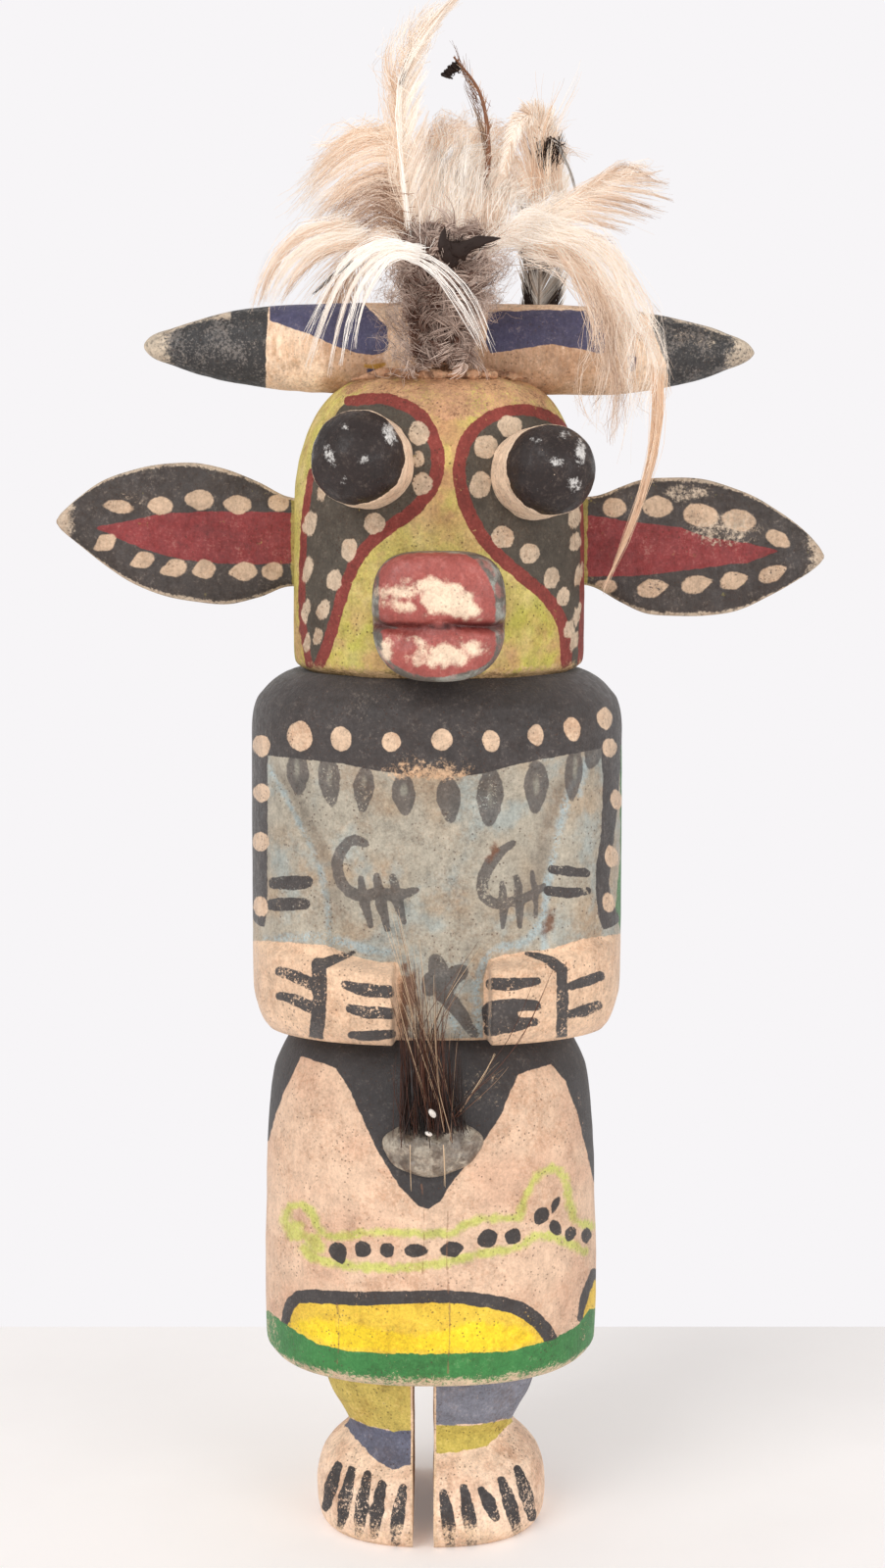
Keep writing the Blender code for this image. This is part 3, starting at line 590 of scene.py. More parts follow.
# Helmet head
def make_head():
    grid, angle = block(HEAD, HEAD_SHAPE, 180, 370)
    grid = carved(grid, HEAD["centre"], 0.00025, 0.00006, 11)
    lump = ramp(grid[..., 2], 0.2745, 0.2790)
    grid[..., 2] += lump * (0.0004 * cloud(grid, 0.0035, 15) + 0.0003 * cloud(grid, 0.0016, 16))
    spots = on_drawing(grid)
    front = faces_viewer(grid, HEAD["centre"])
    inner_left = [(356, 409), (377, 407), (399, 408), (427, 422), (441, 444), (447, 473), (438, 501), (419, 523),
                  (391, 543), (368, 565), (354, 593), (346, 618), (335, 655), (326, 677)]
    outer_left = [(318, 481), (312, 520), (308.5, 576), (308.5, 632), (312, 661), (316, 679)]
    patch_left = area(spots, [(345, 420)] + inner_left + outer_left[::-1] + [(326, 446)])
    inner_right = [(575, 437), (561, 425), (533, 418), (502, 425), (479, 444), (469, 473), (471, 501), (482, 531),
                   (502, 560), (533, 588), (561, 613), (575, 641), (578, 678)]
    outer_right = [(594, 505), (595, 526), (595, 576), (594, 630), (592, 678)]
    patch_right = area(spots, inner_right + outer_right[::-1])
    dark = np.where(front, all_of(patch_left, patch_right), 9.0)
    red = all_of(stroke(spots, inner_left, [11, 13, 14, 13, 12, 11]), stroke(spots, outer_left, 7),
                 stroke(spots, inner_right, [10, 13, 14, 13, 12]), stroke(spots, outer_right, 6))
    red = np.where(front, red, 9.0)
    marks = [(427, 442, 22, 24), (431, 494, 20, 23), (382, 534, 21, 22), (356, 561, 17, 24), (341, 592, 15, 22),
             (330, 622, 13, 21), (324, 649, 10, 18), (328, 503, 9, 16), (316, 534, 13, 26), (314, 582, 10, 26),
             (312, 624, 8, 24), (313, 656, 8, 18), (427, 468, 12, 16),
             (520, 435, 25, 22), (496, 456, 23, 25), (490, 495, 22, 27), (513, 548, 23, 22), (540, 565, 21, 21),
             (563, 590, 16, 21), (575, 609, 13, 19), (581, 642, 10, 19), (586, 654, 8, 18), (586, 529, 13, 22),
             (587, 553, 11, 20), (591, 586, 7, 22), (589, 627, 7, 22)]
    dots = np.full(red.shape, 9.0)
    for u, v, wide, tall in marks:
        dots = np.minimum(dots, dab(spots, (u, v), wide, tall, 12))
    dots = np.where(front, dots, 9.0)
    x, y, z = grid[..., 0], grid[..., 1], grid[..., 2]
    lime = ramp(0.233 - z + 0.004 * cloud(grid, 0.008, 17), -0.004, 0.010) * ramp(np.abs(x - 0.0006), 0.011, 0.018)
    glue = (0.0195 - np.hypot(x * 0.75 - 0.003, (z - 0.2775) * 1.9)) * -1000 + 2.5 * cloud(grid, 0.004, 18)
    rim = 1.2 * ramp(z, 0.2160, 0.2102)
    top = ramp(z, 0.272, 0.279)
    tan = np.exp(-((x - 0.0015) / 0.010) ** 2) * ramp(z, 0.236, 0.250) + 0.8 * ramp(z, 0.234, 0.216)
    # Painted shade: the bottom of the head darkened where it tucks in at the neck groove
    neck_shade = (z - 0.2107) * 1000 + 0.4 * cloud(grid, 0.004, 19)
    piece = skin("helmet_head", grid, {
        "dark": dark, "red": red, "dots": dots, "lime": lime, "glue": glue, "neck_shade": neck_shade, "tan": tan,
        "wear": rim + 0.8 * top,
    })
    finish = Finish("head paint").wood((222, 186, 140), (150, 108, 66))
    finish.top = blend(finish.tree, 0.93, finish.top, colour(204, 188, 104))
    finish.cloudy((222, 200, 140), 75.0, 0.45, 0.65, 0.7, 1.0)
    finish.cloudy((180, 180, 78), 45.0, 0.48, 0.62, 0.35, 5.5)
    finish.cloudy((198, 156, 112), 140.0, 0.52, 0.66, 0.45, 7.5)
    fac = maths(finish.tree, "MULTIPLY", finish.field("lime"), span(finish.tree, noise(finish.tree, 160.0, 4.0), 0.3, 0.6))
    finish.top = blend(finish.tree, maths(finish.tree, "MULTIPLY", fac, 0.62), finish.top, colour(172, 170, 52))
    fac = maths(finish.tree, "MULTIPLY", finish.field("tan"), span(finish.tree, noise(finish.tree, 130.0, 7.7), 0.36, 0.62))
    finish.top = blend(finish.tree, maths(finish.tree, "MULTIPLY", fac, 0.8), finish.top, colour(196, 144, 108))
    finish.coat((200, 152, 118), "glue", 3.2, 0.5, 1.2, 0.85)
    finish.coat((126, 88, 62), "glue", 2.6, 0.95, 1.2, 0.7)
    finish.coat((82, 74, 64), "dark", 0.25, 0.12)
    finish.coat((134, 58, 50), "red", 0.3, 0.22)
    finish.coat((208, 184, 158), "dots", 0.45, 0.25, 0.16, 0.92)
    # Painted shade at the neck groove
    finish.coat((94, 66, 44), "neck_shade", 0.5, 0.4, 0.3, 0.7)
    finish.rub("wear", 0.28, (206, 172, 128))
    finish.chalk(0.85, 0.42, 0.9, 0.12)
    place(piece, finish.done(), "carved_body", "carved_body")


# Torso with the arms cut in relief
def make_torso():
    grid, angle = block(TORSO, TORSO_SHAPE, 205, 390)
    x, z = grid[..., 0].copy(), grid[..., 2].copy()
    y = grid[..., 1].copy()
    front = ramp(-y, 0.006, 0.016)
    levels = [0.140, 0.148, 0.1554, 0.1625, 0.1701, 0.1765, 0.183, 0.189]
    left_edge = np.interp(z, levels, [-0.0244, -0.0246, -0.0253, -0.0262, -0.0288, -0.0322, -0.0362, -0.0400])
    right_edge = np.interp(z, levels, [0.0240, 0.0240, 0.0243, 0.0251, 0.0267, 0.0282, 0.0302, 0.0331])
    fade = ramp(z, 0.191, 0.182)
    chest = ramp(x - left_edge, 0.0, 0.0034) * ramp(right_edge - x, 0.0, 0.0060)
    groove = (np.exp(-((x - left_edge - 0.0010) / 0.0015) ** 2) * 0.0015
              + np.exp(-((x - right_edge + 0.0014) / 0.0030) ** 2) * 0.0017) * ramp(z, 0.143, 0.149)
    sleeve = (1 - chest) * ramp(z, 0.172, 0.150) * 0.0016
    relief = fade * (-0.0022 * chest - groove) + sleeve
    hand_top = np.where(x < 0, np.interp(x, [-0.044, -0.028, -0.012], [0.1478, 0.1463, 0.1445]),
                        np.interp(x, [0.012, 0.028, 0.044], [0.1450, 0.1468, 0.1492]))
    inner = np.where(x < 0, ramp(-x, 0.0092, 0.0102), ramp(x, 0.0116, 0.0127))
    hand = ramp(hand_top - z, -0.0002, 0.0026) * inner
    relief = relief * (1 - hand) + hand * (0.0050 - 0.0012 * ramp(z, 0.1290, 0.1252))
    grid[..., 1] -= relief * front
    grid = carved(grid, 0.0, 0.00022, 0.00005, 21)
    spots = on_drawing(grid)
    seen = faces_viewer(grid, 0.0)
    far = np.full(x.shape, 9.0)
    tall = z * 1000
    yoke_line = area(spots, [(240, 640), (240, 762), (274, 771), (311, 775), (348, 779), (381, 786), (415, 791),
                             (449, 793), (490, 790), (532, 779), (597, 767), (640, 758), (660, 640)], False, 60)
    yoke = np.where(seen, yoke_line, 188.8 - tall)
    stripe_left = area(spots, [(252, 740), (273, 768), (273, 850), (273, 925), (269, 950), (262, 965), (252, 965)], False)
    stripe_left = np.maximum(stripe_left, (y * 1000 - 3.0))
    stripe_right = area(spots, [(614, 745), (615, 800), (613, 850), (608, 890), (609, 925), (616, 950), (630, 962),
                                (640, 962), (631, 935), (622, 905), (626, 860), (632, 800), (632, 745)])
    side_back = np.abs(y * 1000 - 0.0) - 3.0
    black = all_of(yoke, np.where(seen, stripe_left, np.where(x < 0, side_back, far)),
                   np.where(seen, stripe_right, far))
    black = np.where(tall < 150.0, np.maximum(black, 150.0 - tall), black)
    green = np.where(seen, far, np.where(x < 0, 2.5 - y * 1000, 0.5 - y * 1000))
    green = np.where(seen & (x > 0), area(spots, [(632, 752), (660, 752), (660, 965), (636, 962), (628, 930), (633, 870)],
                                           False), green)
    hands = all_of(
        area(spots, [(240, 960), (268, 960), (300, 962), (334, 965), (362, 976), (385, 981), (406, 982), (411, 1000),
                     (411, 1090), (240, 1090)], False),
        area(spots, [(650, 950), (625, 954), (600, 957), (581, 962), (565, 968), (545, 970), (515, 974), (499, 979),
                     (493, 1000), (493, 1090), (650, 1090)], False))
    hands = np.where(seen, hands, np.maximum(tall - 148.0, y * 1000 - 5.0))
    ink = stroke(spots, [(361, 972), (343, 978), (325, 985)], [4, 10, 12])
    for knots, width in [
        ([(325, 985), (326, 1022), (322, 1062)], [15, 15, 15]), ([(286, 991), (302, 997), (321, 1005)], [10, 13, 12]),
        ([(286, 1016), (302, 1021), (321, 1029)], [9, 12, 13]), ([(352, 1005), (372, 1010), (396, 1012)], [9, 14, 13]),
        ([(357, 1029), (376, 1033), (398, 1034)], [9, 13, 12]), ([(359, 1056), (378, 1057), (400, 1055)], [8, 11, 9]),
        ([(537, 973), (557, 978), (573, 990)], [4, 9, 12]), ([(573, 989), (574, 1022), (573, 1058)], [11, 12, 11]),
        ([(583, 1006), (598, 1001), (612, 996)], [9, 11, 10]), ([(582, 1035), (597, 1031), (610, 1026)], [9, 12, 10]),
        ([(501, 1004), (522, 1004), (548, 1001)], [12, 13, 8]), ([(501, 1028), (522, 1026), (546, 1026)], [13, 14, 11]),
        ([(501, 1050), (520, 1046), (545, 1043)], [15, 16, 9]), ([(499, 1030), (503, 1040), (520, 1038)], [14, 20, 18]),
    ]:
        ink = np.minimum(ink, stroke(spots, knots, width))
    for knots, width in [
        ([(280, 901), (297, 901), (313, 900)], [12, 15, 13]), ([(277, 923), (294, 923), (311, 922)], [12, 14, 12]),
        ([(563, 887), (581, 889), (598, 891)], [9, 10, 9]), ([(560, 909), (580, 911), (600, 909)], [10, 11, 8]),
    ]:
        ink = np.minimum(ink, stroke(spots, knots, width))
    ink = np.where(seen, ink, far)
    wash = far
    for u, v, wide, long, turn in [(304, 789, 24, 44, -4), (336, 797, 24, 52, -6), (371, 805, 23, 46, 4),
                                   (412, 811, 26, 42, -6), (458, 816, 27, 46, -4), (500, 814, 29, 58, 3),
                                   (547, 803, 26, 54, 2), (585, 790, 20, 54, 4), (606, 764, 22, 40, 10)]:
        wash = np.minimum(wash, dab(spots, (u, v), wide * 0.94, long * 1.04, turn, 0.3))
    emblem = all_of(
        stroke(spots, [(372, 861), (360, 857), (348, 868), (344, 884), (350, 903), (366, 914), (385, 912), (405, 913),
                       (426, 908)], [9, 11, 12, 12, 12, 12, 13, 13, 5]),
        stroke(spots, [(368, 897), (372, 920), (378, 944)], [7, 12, 6]),
        stroke(spots, [(384, 894), (389, 922), (395, 948)], [7, 13, 6]),
        stroke(spots, [(401, 895), (406, 920), (412, 941)], [7, 12, 5]),
        stroke(spots, [(524, 860), (508, 872), (494, 893), (493, 912), (505, 922), (522, 920), (538, 915), (554, 905)],
               [6, 11, 13, 12, 11, 10, 10, 7]),
        stroke(spots, [(512, 901), (514, 924), (513, 946)], [6, 10, 5]),
        stroke(spots, [(527, 895), (530, 920), (530, 945)], [7, 10, 5]),
        stroke(spots, [(543, 890), (546, 912), (547, 936)], [5, 8, 4]))
    belly = all_of(dab(spots, (447, 989), 20, 34, -16), dab(spots, (464, 995), 30, 18, -28),
                   dab(spots, (439, 1003), 18, 26, 14), dab(spots, (454, 1005), 24, 20), stroke(spots, [(452, 1014), (468, 1032), (484, 1056)], [17, 15, 9]))
    wash = np.where(seen, all_of(wash, emblem, belly), far)
    heart = far
    for u, v, wide, long in [(303, 784, 5, 20), (336, 792, 5, 18), (371, 798, 5, 12), (412, 806, 8, 12), (500, 812, 5, 22),
                             (547, 800, 5, 18), (587, 783, 4, 22)]:
        heart = np.minimum(heart, dab(spots, (u, v), wide, long))
    heart = np.where(seen, heart, far)
    dots = far
    for u, v, wide, long in [(267, 761, 18, 22), (306, 751, 25, 31), (348, 754, 21, 25), (399, 757, 19, 20),
                             (451, 755, 22, 22), (501, 756, 18, 22), (547, 750, 16, 22), (584, 744, 17, 24),
                             (617, 733, 15, 22), (267, 809, 17, 19), (266, 859, 17, 20), (266, 925, 15, 21),
                             (622, 763, 15, 19), (629, 816, 12, 20), (624, 874, 14, 22), (621, 921, 13, 20)]:
        dots = np.minimum(dots, dab(spots, (u, v), wide, long, -8))
    around = np.arctan2(x, -y) * 42.0
    step = np.abs((around + 4.5) % 11.5 - 5.75)
    ring = np.hypot(step, tall - 191.5) - 2.3
    dots = np.where(seen, dots, ring)
    groove_paint = np.abs(x - left_edge - 0.0002) * 1000 - 0.45
    groove_paint = np.minimum(groove_paint, np.abs(x - right_edge - 0.0006) * 1000 - 0.85)
    # Painted shade: a soft dark band on the chest side of each arm groove, where the chest sinks behind the sleeve
    shade = np.maximum(np.exp(-((x - left_edge - 0.0024) / 0.0022) ** 2) * 0.8,
                       np.exp(-((x - right_edge + 0.0020) / 0.0026) ** 2) * 0.9) * ramp(z, 0.150, 0.158) * ramp(z, 0.190, 0.184)
    shade = np.where(seen, shade, 0)
    groove_paint = np.where(seen & (tall < 189) & (tall > 146), groove_paint, far)
    edge_paint = all_of(stroke(spots, [(270, 958), (330, 957), (372, 968), (404, 972)], [6, 9, 9, 6]),
                        stroke(spots, [(556, 934), (536, 962), (500, 972), (488, 1004), (488, 1060)], [10, 9, 7, 9, 10]),
                        stroke(spots, [(462, 1040), (470, 1066)], [8, 12]), stroke(spots, [(598, 775), (590, 812)], [6, 4]))
    blue = np.where(seen, np.minimum(groove_paint, edge_paint), far)
    # Brown marks: painted shadow on the belly beside the inner wall of the left hand, a brown mark at the foot of the
    # right arm groove and a small one on the chest
    brown = all_of(dab(spots, (560, 941), 12, 32, 10), dab(spots, (418, 1012), 17, 40, 0),
                   stroke(spots, [(414, 985), (412, 1030), (416, 1068)], [5, 9, 6]), dab(spots, (503, 870), 6, 16, 20))
    brown = np.where(seen, brown, far)
    worn = 0.9 * ramp(spots[..., 1], 750, 792) * ramp(np.abs(spots[..., 0] - 440), 105, 10) * ramp(spots[..., 1], 808, 790)
    rim = np.maximum(ramp(z, 0.1272, 0.1256), 0.8 * ramp(np.abs(x + 0.0097), 0.0009, 0.0001) * (tall < 145))
    rim = np.maximum(rim, 0.8 * ramp(np.abs(x - 0.0122), 0.0009, 0.0001) * (tall < 145))
    wear = np.where(seen, np.maximum(1.0 * worn, rim), rim)
    dirt = cloud(grid * [1, 1, 1.6], 0.012, 33) * 0.6 + cloud(grid, 0.005, 34) * 0.4
    piece = skin("torso", grid, {
        "black": black, "green": green, "hands": hands, "ink": ink, "wash": wash, "heart": heart, "dots": dots,
        "blue": blue, "brown": brown, "wear": wear, "dirt": dirt, "shade": shade,
    })
    finish = Finish("torso paint").wood((226, 190, 150), (160, 112, 76))
    finish.top = blend(finish.tree, 0.96, finish.top, colour(170, 162, 146))
    finish.top = blend(finish.tree, span(finish.tree, finish.field("dirt"), -0.25, 0.5, 0.0, 0.75), finish.top,
                       colour(172, 150, 124))
    finish.cloudy((158, 166, 162), 70.0, 0.50, 0.66, 0.7, 2.0)
    # Painted shade along the arm grooves
    finish.top = blend(finish.tree, maths(finish.tree, "MULTIPLY", finish.field("shade"), 0.62), finish.top,
                       colour(112, 98, 84))
    finish.coat((160, 184, 192), "blue", 0.9, 0.55, 0.8, 0.6)
    finish.coat((60, 118, 58), "green", 0.3, 0.15)
    finish.coat((226, 190, 158), "hands", 0.3, 0.06)
    finish.coat((84, 77, 74), "wash", 0.3, 0.32, 0.16, 0.86)
    finish.coat((150, 146, 132), "heart", 0.2, 0.5, 0.4, 0.75)
    finish.coat((64, 57, 55), "black", 0.25, 0.10)
    finish.coat((68, 62, 60), "ink", 0.28, 0.40)
    finish.coat((222, 190, 160), "dots", 0.25, 0.16, 0.14, 0.95)
    # Brown marks, mostly painted shadow beside the left hand's inner wall
    finish.coat((108, 64, 36), "brown", 1.0, 0.15, 0.6, 0.85)
    finish.rub("wear", 0.40, (214, 176, 140))
    finish.chalk(0.85, 0.40, 0.9, 0.22)
    finish.shine(0.42, 0.72)
    finish.shader.inputs["Sheen Weight"].default_value = 0.2
    place(piece, finish.done(), "carved_body", "carved_body")


# Kilt
def make_kilt():
    grid, angle = block(KILT, KILT_SHAPE, 195, 380)
    grid = carved(grid, KILT["centre"], 0.00025, 0.00006, 41)
    x, y, z = (grid[..., k].copy() for k in range(3))
    spots = on_drawing(grid)
    seen = faces_viewer(grid, KILT["centre"])
    far = np.full(x.shape, 9.0)
    tall = z * 1000
    around = np.arctan2(x - KILT["centre"], -y) * 40.0
    vee = area(spots, [(240, 1030), (660, 1030), (660, 1082), (565, 1085), (529, 1096), (521, 1113), (512, 1137),
                       (492, 1166), (475, 1190), (461, 1207), (449, 1226), (437, 1234), (427, 1231), (407, 1210),
                       (386, 1176), (371, 1144), (358, 1115), (343, 1090), (308, 1078), (240, 1070)], False, 60)
    wedge_left = area(spots, [(240, 1068), (308, 1077), (294, 1105), (281, 1137), (274.5, 1164), (240, 1164)], False)
    wedge_right = area(spots, [(560, 1083), (577, 1103), (589, 1137), (597, 1168), (606, 1207), (640, 1215),
                               (640, 1060)], False)
    wedge_back = np.minimum(112.5 + 1.2 * np.sin(around / 9) - tall,
                            np.abs(y * 1000 - 3.0) - np.interp(tall, [84, 100, 112], [0.2, 5.0, 11.0]) + 0.2)
    wedge_back = np.where(tall < 84, 3.0, wedge_back)
    black = np.where(seen, all_of(vee, wedge_left, wedge_right), wedge_back)
    segment = area(spots, [(291, 1346), (296, 1331), (308, 1324), (371, 1325), (451, 1323), (492, 1327), (529, 1335),
                           (552, 1352), (560, 1367), (536, 1385), (444, 1392), (350, 1388), (300, 1372)])
    rim = stroke(spots, [(291, 1348), (297, 1330), (311, 1323), (371, 1325), (451, 1323), (492, 1327), (529, 1335),
                         (552, 1352), (562, 1367)], [9, 14, 14, 14, 13, 13, 14, 15, 14])
    segment_right = area(spots, [(594, 1346), (598, 1322), (605, 1300), (640, 1300), (640, 1360), (598, 1360)], False)
    rim_right = stroke(spots, [(592, 1346), (596, 1324), (606, 1298)], [6, 8, 8])
    other = np.abs(around) - 83.0
    hump = np.clip(1 - (other / 33.0) ** 4, 0, 1) ** 0.5
    arc_back = tall - (52.5 + 14.0 * hump)
    arc_back = np.where(np.abs(other) < 33, arc_back, 5.0)
    yellow = np.where(seen, np.minimum(segment, segment_right), arc_back)
    outline = np.where(seen, np.minimum(rim, rim_right), np.abs(arc_back) - 1.2)
    bright = np.where(seen, area(spots, [(300, 1352), (330, 1347), (380, 1356), (430, 1361), (490, 1349), (545, 1362),
                                         (520, 1377), (440, 1379), (340, 1374)]), yellow + 3.0)
    hem_line = area(spots, [(240, 1332), (274, 1338), (294, 1353), (323, 1371), (352, 1378), (395, 1381), (444, 1382),
                            (517, 1379), (565, 1367), (589, 1353), (601, 1336), (640, 1330), (640, 1500),
                            (240, 1500)], False, 60)
    hem = np.where(seen, hem_line, tall - 52.4)
    hem = np.where(tall < 45.0, -3.0, hem)
    serpent = all_of(
        stroke(spots, [(320, 1243), (325, 1254), (335, 1261), (354, 1262), (371, 1258), (407, 1258), (456, 1259),
                       (468, 1254), (487, 1245), (510, 1243), (529, 1242), (536, 1222), (547, 1201), (560, 1193),
                       (573, 1197), (580, 1220), (586, 1243), (603, 1251)], [9, 8, 8, 7, 8, 8, 8, 7, 7, 8, 9, 9]),
        stroke(spots, [(308, 1273), (323, 1284), (354, 1291), (407, 1294), (456, 1287), (492, 1280), (529, 1272),
                       (551, 1260), (572, 1265), (596, 1277)], [10, 9, 9, 8, 9, 8, 8, 9, 9]),
        stroke(spots, [(322, 1244), (310, 1231), (296, 1232), (291, 1246), (300, 1258), (316, 1262)], [9, 9, 7, 9, 15, 6]),
        dab(spots, (303, 1250), 12, 9, 20), dab(spots, (322, 1270), 16, 26, -30))
    serpent = np.where(seen, serpent, far)
    wedges = far
    for u, v, wide, tall_by, turn, point in [
        (345, 1278, 16, 20, -20, 0.3), (370, 1275, 17, 15, 30, 0.4), (395, 1276, 14, 14, -30, 0.2),
        (424, 1276, 22, 12, 4, 0.0), (461, 1275, 21, 14, -8, 0.2), (498, 1264, 20, 16, -30, 0.3),
        (524, 1262, 17, 15, -60, 0.5), (552, 1241, 14, 18, 24, 0.3), (567, 1229, 6, 18, 24, 0.3),
        (567, 1253, 11, 15, -30, 0.2), (582, 1259, 10, 14, 20, 0.2), (598, 1261, 9, 14, 10, 0.2),
    ]:
        wedges = np.minimum(wedges, dab(spots, (u, v), wide * 1.12, tall_by * 1.12, turn, point))
    wedges = np.where(seen, wedges, far)
    crack = all_of(stroke(spots, [(457, 1236), (456, 1290), (459, 1345), (457, 1402)], 1.6),
                   stroke(spots, [(344, 1330), (346, 1358), (344, 1392)], 1.3),
                   stroke(spots, [(430, 1208), (433, 1245), (431, 1300)], 1.0))
    crack = np.where(seen, crack, far)
    dirt = cloud(grid * [1, 1, 1.4], 0.016, 43) * 0.6 + cloud(grid, 0.005, 44) * 0.4
    low_edge = ramp(z, 0.0500, 0.0440) * 1.05
    low_edge = np.maximum(low_edge, 0.7 * ramp(np.abs(grid[..., 0]) , 0.034, 0.039) * ramp(z, 0.070, 0.050))
    knot = ramp(np.hypot((spots[..., 0] - 490) * 0.8, spots[..., 1] - 1108), 64, 4) * 0.62
    piece = skin("kilt", grid, {
        "black": black, "yellow": yellow, "bright": bright, "outline": outline, "hem": hem, "serpent": serpent, "wedges": wedges,
        "crack": crack, "dirt": dirt, "wear": np.maximum(low_edge, np.where(seen, knot, 0)),
    })
    finish = Finish("kilt paint").wood((228, 192, 160), (170, 120, 84))
    finish.top = blend(finish.tree, 0.9, finish.top, colour(226, 192, 164))
    finish.top = blend(finish.tree, span(finish.tree, finish.field("dirt"), -0.2, 0.6, 0.0, 0.5), finish.top,
                       colour(206, 160, 132))
    finish.coat((196, 200, 98), "serpent", 0.8, 0.34, 0.7, 0.85)
    finish.coat((64, 58, 56), "wedges", 0.35, 0.25)
    finish.coat((232, 194, 62), "yellow", 0.2, 0.10)
    finish.coat((250, 214, 24), "bright", 1.2, 0.2, 1.0, 0.85)
    finish.coat((66, 61, 60), "outline", 0.25, 0.2)
    finish.coat((58, 126, 64), "hem", 0.35, 0.14)
    finish.coat((62, 58, 58), "black", 0.25, 0.12)
    finish.coat((140, 96, 70), "crack", 0.25, 0.3, 0.1, 0.55)
    finish.rub("wear", 0.36, (218, 192, 160))
    finish.chalk(0.66, 0.42, 0.8, 0.16)
    finish.shader.inputs["Sheen Weight"].default_value = 0.15
    place(piece, finish.done(), "carved_body", "carved_body")


